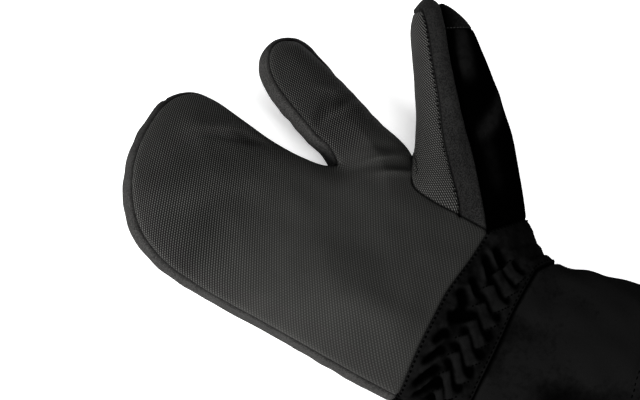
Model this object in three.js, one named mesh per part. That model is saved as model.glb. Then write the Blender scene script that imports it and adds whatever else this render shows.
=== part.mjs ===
import * as THREE from 'three';

// Ski glove for the right hand, of the kind with a thumb, an index finger and a mitt for the
// other three fingers. It lies on its back, palm up. Sizes are in millimetres.
// The origin is on the flat of the back, under the middle of the palm. +Y runs to the mitt's
// tip, +X to the thumb and +Z out of the palm.
// The outside of the glove is one skin. Each panel is a patch of it, thickened inwards.

// Palm, mitt and index finger, from seam to seam
const handHalfWidth = 50;
const mittLength = 108;
const heelLength = 75;
const indexHalfWidth = 16;
const indexLength = 73;
const indexRootX = 73;
const indexRootY = -2;
const indexSplayDeg = 24;

// Heights of the body
const backSeamHeight = 9;
const sideHeight = 16;
const palmCrown = 19;
const mittCrown = 15;
const indexCrown = 11;
const palmRounding = 40;
const indexRounding = 15;
const backRounding = 26;
const sideBulge = 4;
const tipLift = 6;
const tipLiftStart = 55;

// Thumb: root, direction, length and section
const thumbRootX = 64;
const thumbRootY = -65;
const thumbRootHeight = 24;
const thumbTurnDeg = 32;
const thumbRiseDeg = 14;
const thumbLength = 114;
const thumbHalfWidth = 13;
const thumbBandDepth = 14;
const thumbPadCrown = 9;
const thumbBackCrown = 20;
const thumbBulge = 4;
const thumbBlendShare = 0.42;
const crotchHold = 3.4;
const thumbRoundShare = 0.8;
const thumbCapLength = 15;

// Wrist and gauntlet
const wristLength = 39;
const wristHalfWidth = 53;
const wristHeight = 47;
const wristCentreX = 7;
const gauntletLength = 86;
const gauntletHalfWidth = 66;
const gauntletHeight = 64;
const gauntletCentreX = 4;
const cuffSquareness = 2.3;
const hemLength = 12;

// Folds and dents of the palm side
const foldSpread = 10;
const foldRise = 2;

// Gathers at the wrist
const gatherPitch = 13;
const gatherDepth = 1.6;
const gatherSteps = 4;

// Walls and seams
const palmWall = 2.5;
const sideWall = 3;
const backWall = 4;
const thumbWall = 2.5;
const wristWall = 2.6;
const gauntletWall = 2.2;
const hemWall = 3.6;
const seamGap = 0.6;

// How finely the cloth is faceted
const outlineStep = 6.5;
const panelStep = 8.5;
const edgeRings = [3.2, 7.6];
const bandRows = 4;
const thumbRows = 12;
const gauntletRows = 5;
const thumbColumns = 8;
const thumbWristColumns = 7;
const backWristColumns = 18;

// Side seam of the glove, from the wrist's little-finger corner to the thumb's crotch. Heel rows
// are shares of the half width and the heel length, mitt rows of the half width and the mitt
// length, and index rows of the index finger's half width and length, in its own frame. The side
// wall stands out of its seams by a share of its bulge.
const heelSide = [
  { across: -1.0, along: -1.01, out: 0.5 },
  { across: -0.98, along: -0.7, out: 0.6 },
  { across: -0.94, along: -0.33, out: 0.4 },
];
const mittSide = [
  { across: -0.9, along: 0.04, out: 0.15 },
  { across: -0.875, along: 0.26, out: 0.1 },
  { across: -0.835, along: 0.46, out: 0.4 },
  { across: -0.745, along: 0.66, out: 0.75 },
  { across: -0.555, along: 0.82, out: 1 },
  { across: -0.245, along: 0.93, out: 1 },
  { across: 0.125, along: 0.99, out: 1 },
  { across: 0.525, along: 0.995, out: 1 },
  { across: 0.87, along: 0.955, out: 1, joint: 'mitt tip' },
  { across: 1.06, along: 0.87, out: 1 },
  { across: 1.1, along: 0.76, out: 1 },
  { across: 1.05, along: 0.58, out: 1 },
  { across: 0.99, along: 0.4, out: 0.9 },
  { across: 0.98, along: 0.22, out: 0.7 },
  { across: 1.02, along: 0.1, out: 0.4 },
  { across: 1.09, along: 0.045, out: 0.2, joint: 'crotch' },
];
const indexSide = [
  { across: -1.0, along: 0.125, out: 0.4 },
  { across: -1.06, along: 0.26, out: 0.8 },
  { across: -1.03, along: 0.45, out: 0.9 },
  { across: -1.0, along: 0.62, out: 1 },
  { across: -0.9, along: 0.78, out: 1 },
  { across: -0.66, along: 0.9, out: 1.1 },
  { across: -0.3, along: 0.975, out: 1 },
  { across: 0.08, along: 0.995, out: 1 },
  { across: 0.42, along: 0.965, out: 1.3 },
  { across: 0.7, along: 0.9, out: 1.5 },
  { across: 0.82, along: 0.8, out: 1.5 },
  { across: 0.88, along: 0.66, out: 1.3 },
  { across: 0.92, along: 0.5, out: 1.1 },
  { across: 0.97, along: 0.3, out: 1 },
  { across: 1.0, along: 0.12, out: 0.9 },
  { across: 1.05, along: -0.03, out: 0.8 },
  { across: 1.12, along: -0.15, out: 0.7 },
  { across: 1.15, along: -0.27, out: 0.6 },
  { across: 1.08, along: -0.36, out: 0.3 },
];

// Seam between palm and thumb, after the thumb's crotch: first along the pad, then along the
// side wall to the wrist's thumb corner. Shares of the half width and the heel length.
const padSeam = [
  { across: 1.34, along: -0.46 },
  { across: 1.16, along: -0.49 },
  { across: 1.08, along: -0.66 },
  { across: 1.06, along: -0.89 },
];
const thumbSideSeam = [
  { across: 1.05, along: -1.0 },
  { across: 1.04, along: -1.13 },
];

// Palm's wrist seam, from the thumb corner to the little-finger corner
const wristSeam = [
  { across: 0.82, along: -1.105 },
  { across: 0.6, along: -1.075 },
  { across: 0.4, along: -1.04 },
  { across: 0.2, along: -1.01 },
  { across: -0.1, along: -0.99 },
  { across: -0.45, along: -0.975 },
  { across: -0.75, along: -0.985 },
];

// Seam between the thumb's back and the wrist, down round the thumb side of the wrist. Heights
// are shares of the palm's height.
const thumbWristSeam = [
  { across: 1.26, along: -1.27, up: 0.84 },
  { across: 1.5, along: -1.42, up: 0.6 },
  { across: 1.56, along: -1.45, up: 0.36 },
];

// Edges of the back: along the thumb from the wrist to the crotch, and across the wrist from the
// little-finger corner
const backThumbCorner = { across: 1.46, along: -1.41 };
const backThumbSeam = [
  { across: 1.62, along: -1.1 },
  { across: 1.62, along: -0.76 },
];
const backWristSeam = [
  { across: -0.7, along: -1.04 },
  { across: -0.2, along: -1.1 },
  { across: 0.4, along: -1.17 },
  { across: 1.0, along: -1.28 },
];

// Folds and dents of the palm side. Places are shares of the half width and the mitt length,
// turns are in degrees from +X, half lengths and widths are shares of the folds' spread, and
// heights are shares of their rise.
const palmFolds = [
  { at: 'index root, upper ridge', across: 1.31, along: -0.13, turn: 126, half: 1.5, wide: 0.36, high: 1 },
  { at: 'index root, crease', across: 1.25, along: -0.19, turn: 122, half: 1.5, wide: 0.34, high: -1.2 },
  { at: 'index root, lower ridge', across: 1.19, along: -0.2, turn: 118, half: 1.4, wide: 0.36, high: 0.9 },
  { at: 'index root, outer dent', across: 1.48, along: -0.09, turn: 110, half: 0.9, wide: 0.5, high: -1.1 },
  { at: 'index middle dent', across: 1.38, along: 0.235, turn: 40, half: 1.1, wide: 0.45, high: -1 },
  { at: 'index middle ridge', across: 1.44, along: 0.31, turn: 35, half: 1, wide: 0.4, high: 0.6 },
  { at: 'mitt ridge by the index', across: 0.83, along: 0.63, turn: -60, half: 1.2, wide: 0.5, high: 0.7 },
  { at: 'mitt dent by the index', across: 0.88, along: 0.49, turn: -50, half: 0.8, wide: 0.6, high: -1.1 },
  { at: 'mitt crease across', across: -0.1, along: 0.33, turn: 8, half: 3, wide: 0.8, high: -0.7 },
  { at: 'palm hollow', across: 0.25, along: -0.17, turn: 70, half: 2.6, wide: 1.6, high: -1.2 },
  { at: 'heel of the hand', across: -0.45, along: -0.42, turn: 80, half: 2, wide: 1.4, high: 0.8 },
];

// Thumb sections, as shares of the thumb's length, half width, band depth and crowns, and how far
// the band lies in front of the thumb's middle, as a share of its depth
const thumbSections = [
  { along: 0, width: 1.12, band: 1.3, pad: 1.2, back: 1.6, front: 0 },
  { along: 0.25, width: 1.12, band: 1.22, pad: 1.05, back: 1.6, front: 0 },
  { along: 0.5, width: 1.05, band: 0.9, pad: 0.8, back: 1.5, front: 0.14 },
  { along: 0.75, width: 0.98, band: 0.82, pad: 0.5, back: 1.14, front: 0.32 },
  { along: 0.9, width: 0.92, band: 0.8, pad: 0.42, back: 0.75, front: 0.36 },
  { along: 1, width: 0.88, band: 0.85, pad: 0, back: 0, front: 0.36 },
];

// Rows of the gathered wrist: how far past the palm's seam, as a share of the wrist's length, how
// much of the seam's own line they follow, how far they have come to the wrist's round section,
// and how far they stand out, as a share of the gather's depth.
const wristRows = [
  { row: 'palm seam', past: 0, follow: 1, round: 0, out: 0, ripple: 0 },
  { row: 'first puckers', past: 0.17, follow: 0.97, round: 0.3, out: 0.6, ripple: 0.7 },
  { row: 'first elastic', past: 0.36, follow: 0.9, round: 0.6, out: -0.9, ripple: 0.25 },
  { row: 'ribs', past: 0.52, follow: 0.82, round: 0.8, out: 1, ripple: 1 },
  { row: 'second elastic', past: 0.68, follow: 0.74, round: 0.92, out: -0.7, ripple: 0.25 },
  { row: 'last ribs', past: 0.84, follow: 0.66, round: 1, out: 0.8, ripple: 0.8 },
  { row: 'gauntlet seam', past: 1, follow: 0.6, round: 1, out: -0.3, ripple: 0.3 },
];

const vec = (x, y, z) => new THREE.Vector3(x, y, z);
const mix = (a, b, share) => a + (b - a) * share;
const clamp01 = (value) => Math.min(1, Math.max(0, value));
const ease = (value) => {
  const t = clamp01(value);
  return t * t * (3 - 2 * t);
};

// Rise of a crowned cloth from its edge, 0 at the seam and 1 where it is flat
function dome(share, power = 1.8) {
  const t = clamp01(share);
  return (1 - (1 - t) ** power) ** (1 / power);
}

// Value of one column of a table between its rows, on a smooth curve
function between(rows, at, column) {
  let i = 0;
  while (i < rows.length - 2 && rows[i + 1].along < at) i += 1;
  const [b, c] = [rows[i], rows[i + 1]];
  const a = rows[Math.max(0, i - 1)];
  const d = rows[Math.min(rows.length - 1, i + 2)];
  const t = clamp01((at - b.along) / (c.along - b.along));
  const slopeB = (c[column] - a[column]) / (c.along - a.along) * (c.along - b.along);
  const slopeC = (d[column] - b[column]) / (d.along - b.along) * (c.along - b.along);
  const t2 = t * t;
  const t3 = t2 * t;
  return (2 * t3 - 3 * t2 + 1) * b[column] + (t3 - 2 * t2 + t) * slopeB
    + (3 * t2 - 2 * t3) * c[column] + (t3 - t2) * slopeC;
}

// Frame of the index finger in the plan
const indexTurn = THREE.MathUtils.degToRad(indexSplayDeg);
const indexPlace = (s, a) => vec(
  indexRootX + s * Math.cos(indexTurn) + a * Math.sin(indexTurn),
  indexRootY - s * Math.sin(indexTurn) + a * Math.cos(indexTurn),
  0,
);
function indexShares(x, y) {
  const dx = x - indexRootX;
  const dy = y - indexRootY;
  return {
    across: (dx * Math.cos(indexTurn) - dy * Math.sin(indexTurn)) / indexHalfWidth,
    along: (dx * Math.sin(indexTurn) + dy * Math.cos(indexTurn)) / indexLength,
  };
}

// Plan points of the tables
const heelPlace = (row) => vec(row.across * handHalfWidth, row.along * heelLength, 0);
const mittPlace = (row) => vec(row.across * handHalfWidth, row.along * mittLength, 0);
const sideRows = [...heelSide, ...mittSide, ...indexSide];
const sidePlaces = [
  ...heelSide.map(heelPlace),
  ...mittSide.map(mittPlace),
  ...indexSide.map((row) => indexPlace(row.across * indexHalfWidth, row.along * indexLength)),
];

// Points along a smooth curve through the places, with the index of each place among them
function sampled(places, step, counts = []) {
  const curve = new THREE.CatmullRomCurve3(places, false, 'centripetal');
  const points = [places[0].clone()];
  const marks = [0];
  for (let i = 0; i < places.length - 1; i += 1) {
    const span = places[i].distanceTo(places[i + 1]);
    const parts = counts[i] ?? Math.max(1, Math.round(span / step));
    for (let k = 1; k <= parts; k += 1) points.push(curve.getPoint((i + k / parts) / (places.length - 1)));
    marks.push(points.length - 1);
  }
  return { points, marks };
}

// The same, in a given number of even steps
function evenly(places, parts) {
  const points = new THREE.CatmullRomCurve3(places, false, 'centripetal').getSpacedPoints(parts);
  points[0].copy(places[0]);
  points[parts].copy(places[places.length - 1]);
  return points;
}

const side = sampled(sidePlaces, outlineStep);
const jointMark = (name) => side.marks[sideRows.findIndex((row) => row.joint === name)];
const mittTipMark = jointMark('mitt tip');
const crotchMark = jointMark('crotch');
const wristOuterCorner = side.points[0];
const thumbCrotch = side.points[side.points.length - 1];

const padLine = evenly([thumbCrotch, ...padSeam.map(heelPlace)], thumbColumns);
const padEnd = padLine[padLine.length - 1];
const nearLine = evenly([padEnd, ...thumbSideSeam.map(heelPlace)], bandRows);
const wristThumbCorner = nearLine[nearLine.length - 1];
const wristPlaces = [wristThumbCorner, ...wristSeam.map(heelPlace), wristOuterCorner];
const wristSpan = new THREE.CatmullRomCurve3(wristPlaces, false, 'centripetal').getLength();
const wristParts = Math.round(wristSpan / gatherPitch) * gatherSteps;
const wristLine = evenly(wristPlaces, wristParts);
const backCorner = heelPlace(backThumbCorner);
const backThumbPlaces = [backCorner, ...backThumbSeam.map(heelPlace), thumbCrotch];
const backThumbLine = evenly(backThumbPlaces, thumbColumns);
const backWristPlaces = [wristOuterCorner, ...backWristSeam.map(heelPlace), backCorner];
const backWristLine = evenly(backWristPlaces, backWristColumns);

// Shortest way from a plan point to a line
function distanceTo(line, x, y) {
  let best = Infinity;
  for (let i = 0; i < line.length - 1; i += 1) {
    const ax = line[i].x;
    const ay = line[i].y;
    const dx = line[i + 1].x - ax;
    const dy = line[i + 1].y - ay;
    const t = clamp01(((x - ax) * dx + (y - ay) * dy) / (dx * dx + dy * dy || 1));
    best = Math.min(best, Math.hypot(x - ax - t * dx, y - ay - t * dy));
  }
  return best;
}

// The fingers' tips curl off the surface that the glove lies on
const curl = (y) => tipLift * Math.max(0, (y - tipLiftStart) / (mittLength - tipLiftStart)) ** 2;

// How much a plan point belongs to the index finger
function indexShare(x, y) {
  const { across, along } = indexShares(x, y);
  return ease((along + 0.16) / 0.46) * ease((across + 2) / 0.9);
}

function foldHeight(x, y) {
  let sum = 0;
  for (const fold of palmFolds) {
    const turn = THREE.MathUtils.degToRad(fold.turn);
    const dx = x - fold.across * handHalfWidth;
    const dy = y - fold.along * mittLength;
    const u = (dx * Math.cos(turn) + dy * Math.sin(turn)) / (fold.half * foldSpread);
    const v = (dy * Math.cos(turn) - dx * Math.sin(turn)) / (fold.wide * foldSpread);
    sum += foldRise * fold.high * Math.exp(-u * u - v * v);
  }
  return sum;
}

const palmSeamHeight = backSeamHeight + sideHeight;
function palmHeight(x, y) {
  const reach = distanceTo(side.points, x, y);
  const share = indexShare(x, y);
  const rounding = mix(palmRounding, indexRounding, share);
  const crown = mix(mix(palmCrown, mittCrown, ease((y + heelLength) / (heelLength + mittLength))),
    indexCrown, share);
  const edge = ease(reach / edgeRings[1]);
  return palmSeamHeight + crown * dome(reach / rounding) + foldHeight(x, y) * edge + curl(y);
}

const backEdge = [...backThumbLine.slice(0, -1), ...[...side.points].reverse()];
function backHeight(x, y) {
  const reach = distanceTo(backEdge, x, y);
  const rounding = mix(backRounding, indexRounding, indexShare(x, y));
  return backSeamHeight * (1 - dome(reach / rounding)) + curl(y);
}

// Cloth patches are lists of triangles, wound so that they face out of the glove
function sheet(rows, flip = false) {
  const triangles = [];
  for (let i = 0; i < rows.length - 1; i += 1) {
    for (let j = 0; j < rows[i].length - 1; j += 1) {
      const [a, b, c, d] = [rows[i][j], rows[i][j + 1], rows[i + 1][j + 1], rows[i + 1][j]];
      if (flip) triangles.push([a, c, b], [a, d, c]);
      else triangles.push([a, b, c], [a, c, d]);
    }
  }
  return triangles;
}

function insidePlan(outline, x, y) {
  let inside = false;
  for (let i = 0, j = outline.length - 1; i < outline.length; j = i, i += 1) {
    const a = outline[i];
    const b = outline[j];
    if ((a.y > y) !== (b.y > y) && x < (b.x - a.x) * (y - a.y) / (b.y - a.y) + a.x) inside = !inside;
  }
  return inside;
}

// Triangles over plan points, by Delaunay's rule that no circle round one holds a fourth point
function triangulated(points) {
  const far = 4000;
  const all = [...points, vec(-far, -far, 0), vec(far, -far, 0), vec(0, far, 0)];
  const circle = (a, b, c) => {
    const [p, q, r] = [all[a], all[b], all[c]];
    const d = 2 * (p.x * (q.y - r.y) + q.x * (r.y - p.y) + r.x * (p.y - q.y));
    const [pp, qq, rr] = [p, q, r].map((s) => s.x * s.x + s.y * s.y);
    const x = (pp * (q.y - r.y) + qq * (r.y - p.y) + rr * (p.y - q.y)) / d;
    const y = (pp * (r.x - q.x) + qq * (p.x - r.x) + rr * (q.x - p.x)) / d;
    return { a, b, c, x, y, reach: (p.x - x) ** 2 + (p.y - y) ** 2 };
  };
  const n = points.length;
  let triangles = [circle(n, n + 1, n + 2)];
  points.forEach((point, index) => {
    const edges = new Map();
    const kept = [];
    for (const t of triangles) {
      if ((point.x - t.x) ** 2 + (point.y - t.y) ** 2 >= t.reach) {
        kept.push(t);
        continue;
      }
      for (const [u, v] of [[t.a, t.b], [t.b, t.c], [t.c, t.a]]) {
        if (edges.has(`${v},${u}`)) edges.delete(`${v},${u}`);
        else edges.set(`${u},${v}`, [u, v]);
      }
    }
    triangles = kept;
    for (const [u, v] of edges.values()) triangles.push(circle(u, v, index));
  });
  return triangles.filter((t) => t.a < n && t.b < n && t.c < n).map((t) => [t.a, t.b, t.c]);
}

// A crowned panel over a closed outline, with rows of points that follow its seams
function crowned(outline, height, facesUp) {
  const points = outline.map((p) => p.clone());
  const clear = (p, room) => points.every((q) => Math.hypot(p.x - q.x, p.y - q.y) > room);
  const count = outline.length;
  for (const inset of edgeRings) {
    for (let i = 0; i < count; i += 1) {
      const before = outline[(i + count - 1) % count];
      const after = outline[(i + 1) % count];
      const length = Math.hypot(after.x - before.x, after.y - before.y);
      const x = outline[i].x - (after.y - before.y) / length * inset;
      const y = outline[i].y + (after.x - before.x) / length * inset;
      const point = vec(x, y, 0);
      const room = distanceTo([...outline, outline[0]], x, y);
      if (insidePlan(outline, x, y) && room > inset * 0.8 && clear(point, inset * 0.75)) points.push(point);
    }
  }
  const box = new THREE.Box3().setFromPoints(outline);
  const rise = panelStep * Math.sqrt(3) / 2;
  for (let row = 0, y = box.min.y; y < box.max.y; row += 1, y += rise) {
    for (let x = box.min.x + (row % 2) * panelStep / 2; x < box.max.x; x += panelStep) {
      const point = vec(x, y, 0);
      const room = distanceTo([...outline, outline[0]], x, y);
      const within = insidePlan(outline, x, y) && room > edgeRings[1];
      if (within && clear(point, panelStep * 0.62)) points.push(point);
    }
  }
  const faces = triangulated(points).filter(([a, b, c]) => {
    const [p, q, r] = [points[a], points[b], points[c]];
    return insidePlan(outline, (p.x + q.x + r.x) / 3, (p.y + q.y + r.y) / 3);
  });
  const raised = points.map((p) => vec(p.x, p.y, height(p.x, p.y)));
  return faces.map(([a, b, c]) => {
    const [p, q, r] = [raised[a], raised[b], raised[c]];
    const turn = (q.x - p.x) * (r.y - p.y) - (q.y - p.y) * (r.x - p.x);
    return (turn > 0) === facesUp ? [p, q, r] : [p, r, q];
  });
}

const onPalm = (p) => vec(p.x, p.y, palmHeight(p.x, p.y));
const onBack = (p) => vec(p.x, p.y, backHeight(p.x, p.y));

// Outlines run with the panel on their left
const palmOutline = [
  ...side.points.slice(0, -1),
  ...padLine.slice(0, -1),
  ...nearLine.slice(0, -1),
  ...wristLine.slice(0, -1),
].reverse();
const backOutline = [
  ...side.points.slice(0, -1),
  ...[...backThumbLine].reverse().slice(0, -1),
  ...[...backWristLine].reverse().slice(0, -1),
].reverse();

// Side walls: rows from the palm's seam down to the back's, bulging out between them
function sideColumn(mark) {
  const points = side.points;
  const before = points[Math.max(0, mark - 1)];
  const after = points[Math.min(points.length - 1, mark + 1)];
  const length = Math.hypot(after.x - before.x, after.y - before.y);
  const outX = -(after.y - before.y) / length;
  const outY = (after.x - before.x) / length;
  const { x, y } = points[mark];
  const row = Math.max(1, side.marks.findIndex((end) => end >= mark));
  const along = (mark - side.marks[row - 1]) / (side.marks[row] - side.marks[row - 1]);
  const bulge = sideBulge * mix(sideRows[row - 1].out, sideRows[row].out, along);
  const top = palmHeight(x, y);
  const bottom = backHeight(x, y);
  const column = [];
  for (let k = 0; k <= bandRows; k += 1) {
    const share = k / bandRows;
    const out = bulge * Math.sin(Math.PI * share);
    column.push(vec(x + outX * out, y + outY * out, mix(top, bottom, share)));
  }
  return column;
}
const sideColumns = side.points.map((_, mark) => sideColumn(mark));

// Thumb: rows run from its root ring to its tip, as shares of its own sections
const thumbTurn = THREE.MathUtils.degToRad(thumbTurnDeg);
const thumbRise = THREE.MathUtils.degToRad(thumbRiseDeg);
const thumbRoot = vec(thumbRootX, thumbRootY, thumbRootHeight);
const thumbAxis = vec(
  Math.cos(thumbRise) * Math.cos(thumbTurn),
  Math.cos(thumbRise) * Math.sin(thumbTurn),
  Math.sin(thumbRise),
);
const thumbFront = vec(-Math.sin(thumbTurn), Math.cos(thumbTurn), 0);
const thumbUp = thumbAxis.clone().cross(thumbFront);

const thumbArc = [
  onPalm(wristThumbCorner),
  ...thumbWristSeam.map((row) => heelPlace(row).setZ(row.up * (palmSeamHeight + palmCrown))),
  onBack(backCorner),
];
const thumbWristLine = evenly(thumbArc, thumbWristColumns);
const padParts = padLine.length - 1;
const backParts = thumbWristLine.length - 1 + backThumbLine.length - 1;
const thumbRing = [
  ...padLine.slice(0, -1).map(onPalm),
  ...nearLine.slice(0, -1).map(onPalm),
  ...thumbWristLine.slice(0, -1),
  ...backThumbLine.slice(0, -1).map(onBack),
  ...[...sideColumns[sideColumns.length - 1]].reverse(),
];

// Section of the thumb at a length along it: front is towards the index finger, up is lateral
function thumbSection(index, length) {
  const at = clamp01(length / thumbLength);
  const ending = clamp01((at - thumbRoundShare) / (1 - thumbRoundShare));
  const taper = Math.sqrt(1 - ending * ending);
  const width = thumbHalfWidth * between(thumbSections, at, 'width') * taper;
  const half = thumbBandDepth * between(thumbSections, at, 'band') / 2;
  const ahead = thumbBandDepth * between(thumbSections, at, 'front');
  const crownTaper = Math.sqrt(taper);
  if (index <= padParts) {
    const turn = Math.PI * index / padParts;
    const crown = thumbPadCrown * between(thumbSections, at, 'pad') * crownTaper;
    return { front: ahead + half + crown * Math.sin(turn), up: -width * Math.cos(turn), on: 0 };
  }
  if (index < padParts + bandRows) {
    return thumbBand((index - padParts) / bandRows, 1, width, half, ahead, ending);
  }
  if (index <= padParts + bandRows + backParts) {
    const turn = Math.PI * (index - padParts - bandRows) / backParts;
    const crown = thumbBackCrown * between(thumbSections, at, 'back') * crownTaper;
    return { front: ahead - half - crown * Math.sin(turn), up: width * Math.cos(turn), on: 0 };
  }
  const share = 1 - (index - padParts - bandRows - backParts) / bandRows;
  return thumbBand(share, -1, width, half, ahead, ending);
}

function thumbBand(share, sign, width, half, ahead, ending) {
  const out = thumbBulge * Math.sin(Math.PI * share);
  const tilt = ending ** 2;
  return {
    front: ahead + mix(half, -half, share),
    up: sign * (width + out * Math.sqrt(1 - tilt * tilt)),
    on: out * tilt,
  };
}

function thumbPoint(index, share) {
  const rel = thumbRing[index].clone().sub(thumbRoot);
  const ahead = rel.dot(thumbAxis);
  const length = thumbLength * share + ahead * (1 - share) ** (ahead > 0 ? crotchHold : 2);
  const section = thumbSection(index, length);
  const own = ease(share / thumbBlendShare);
  const front = mix(rel.dot(thumbFront), section.front, own);
  const up = mix(rel.dot(thumbUp), section.up, own);
  return thumbRoot.clone()
    .addScaledVector(thumbAxis, length + section.on * own)
    .addScaledVector(thumbFront, front)
    .addScaledVector(thumbUp, up);
}

const capShare = 1 - thumbCapLength / thumbLength;
const thumbShares = [];
for (let i = 0; i <= thumbRows; i += 1) thumbShares.push(Math.sin(Math.PI / 2 * i / thumbRows));
const toCap = (row) => Math.abs(thumbShares[row] - capShare);
const capRow = thumbShares.reduce((best, _, row) => (toCap(row) < toCap(best) ? row : best), 0);
thumbShares[capRow] = capShare;
const thumbGrid = thumbShares.map((share) => thumbRing.map((_, index) => (
  share === 0 ? thumbRing[index].clone() : thumbPoint(index, share))));
const thumbPart = (from, to, start = 0, end = thumbRows) => (
  thumbGrid.slice(start, end + 1).map((row) => row.slice(from, to + 1)));
const padRow = thumbRows - 2;
const nearFrom = padParts;
const backFrom = padParts + bandRows;
const farFrom = backFrom + backParts;

// Wrist and gauntlet: one ring of points, carried down the arm
const wristRing = [
  ...wristLine.slice(0, -1).map(onPalm),
  ...sideColumns[0].slice(0, -1),
  ...backWristLine.slice(0, -1).map(onBack),
  ...[...thumbWristLine].reverse(),
];
wristRing[wristRing.length - 1] = wristRing[0].clone();

function cuffSection(angle, centreX, halfWidth, height) {
  const power = 2 / cuffSquareness;
  const c = Math.cos(angle);
  const s = Math.sin(angle);
  const half = height / 2;
  return vec(
    centreX + halfWidth * Math.sign(c) * Math.abs(c) ** power,
    0,
    half + half * Math.sign(s) * Math.abs(s) ** power,
  );
}

function ringAngle(point) {
  const x = (point.x - wristCentreX) / wristHalfWidth;
  const z = (point.z - wristHeight / 2) / (wristHeight / 2);
  return Math.atan2(z, x);
}

function wristPoint(index, row) {
  const seam = wristRing[index];
  const angle = ringAngle(seam);
  const section = cuffSection(angle, wristCentreX, wristHalfWidth, wristHeight);
  const x = mix(seam.x, section.x, row.round);
  const z = mix(seam.z, section.z, row.round);
  const onPalmSide = ease((Math.sin(angle) + 0.2) / 0.8);
  const alongPalm = index > 0 && index < wristParts;
  const ripple = alongPalm ? row.ripple * Math.cos(2 * Math.PI * index / gatherSteps) : 0;
  const out = gatherDepth * (row.out * mix(0.5, 1, onPalmSide) + ripple * onPalmSide);
  const y = -heelLength - row.past * wristLength + (seam.y + heelLength) * row.follow;
  return vec(x + out * Math.cos(angle), y, Math.max(0, z + out * Math.sin(angle)));
}
const wristGrid = wristRows.map((row, i) => wristRing.map((p, index) => (
  i === 0 ? p.clone() : wristPoint(index, row))));

const gauntletEnd = -heelLength - wristLength - gauntletLength;
function gauntletPoint(index, along) {
  const start = wristGrid[wristGrid.length - 1][index];
  const angle = ringAngle(wristRing[index]);
  const flare = ease(along) * 0.6 + along * 0.4;
  const section = cuffSection(angle, mix(wristCentreX, gauntletCentreX, flare),
    mix(wristHalfWidth, gauntletHalfWidth, flare), mix(wristHeight, gauntletHeight, flare));
  const own = ease(along / 0.3);
  return vec(mix(start.x, section.x, own), mix(start.y, gauntletEnd, along), mix(start.z, section.z, own));
}
const hemShare = 1 - hemLength / gauntletLength;
const gauntletShares = [];
for (let i = 0; i < gauntletRows; i += 1) gauntletShares.push(hemShare * i / (gauntletRows - 1));
gauntletShares.push(1);
const gauntletGrid = gauntletShares.map((share) => wristRing.map((_, index) => gauntletPoint(index, share)));

// Every patch of the skin, with its wall
const sidePart = (from, to) => sheet(sideColumns.slice(from, to + 1), true);
const patches = [
  { name: 'palm_panel', cloth: crowned(palmOutline, palmHeight, true), wall: palmWall },
  { name: 'back_panel', cloth: crowned(backOutline, backHeight, false), wall: backWall },
  { name: 'outer_side_wall', cloth: sidePart(0, mittTipMark), wall: sideWall },
  { name: 'mitt_inner_wall', cloth: sidePart(mittTipMark, crotchMark), wall: sideWall },
  { name: 'index_side_wall', cloth: sidePart(crotchMark, sideColumns.length - 1), wall: sideWall },
  { name: 'thumb_pad', cloth: sheet(thumbPart(0, nearFrom, 0, padRow)), wall: thumbWall },
  {
    name: 'thumb_side_wall',
    cloth: [
      ...sheet(thumbPart(nearFrom, backFrom)),
      ...sheet(thumbPart(farFrom, farFrom + bandRows)),
      ...sheet(thumbPart(0, nearFrom, padRow)),
    ],
    wall: thumbWall,
  },
  { name: 'thumb_back', cloth: sheet(thumbPart(backFrom, farFrom, 0, capRow)), wall: thumbWall },
  { name: 'thumb_tip_patch', cloth: sheet(thumbPart(backFrom, farFrom, capRow)), wall: thumbWall },
  { name: 'wrist_gather', cloth: sheet(wristGrid), wall: wristWall },
  { name: 'gauntlet', cloth: sheet(gauntletGrid), wall: gauntletWall, hem: hemWall },
];

const placeKey = (p) => [p.x, p.y, p.z].map((value) => Math.round(value * 1000)).join(' ');

// One entry for each place in a patch, and its triangles by number
function welded(cloth) {
  const numbers = new Map();
  const places = [];
  const number = (p) => {
    const key = placeKey(p);
    if (!numbers.has(key)) {
      numbers.set(key, places.length);
      places.push(p);
    }
    return numbers.get(key);
  };
  const faces = cloth.map((corners) => corners.map(number));
  return { places, faces: faces.filter(([a, b, c]) => a !== b && b !== c && c !== a) };
}

function faceNormal(a, b, c) {
  return b.clone().sub(a).cross(c.clone().sub(a));
}

// The skin's normal at each place, shared by the patches that meet there
const skinNormals = new Map();
for (const patch of patches) {
  Object.assign(patch, welded(patch.cloth));
  for (const face of patch.faces) {
    const normal = faceNormal(...face.map((i) => patch.places[i]));
    for (const i of face) {
      const key = placeKey(patch.places[i]);
      if (!skinNormals.has(key)) skinNormals.set(key, vec(0, 0, 0));
      skinNormals.get(key).add(normal);
    }
  }
}

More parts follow.
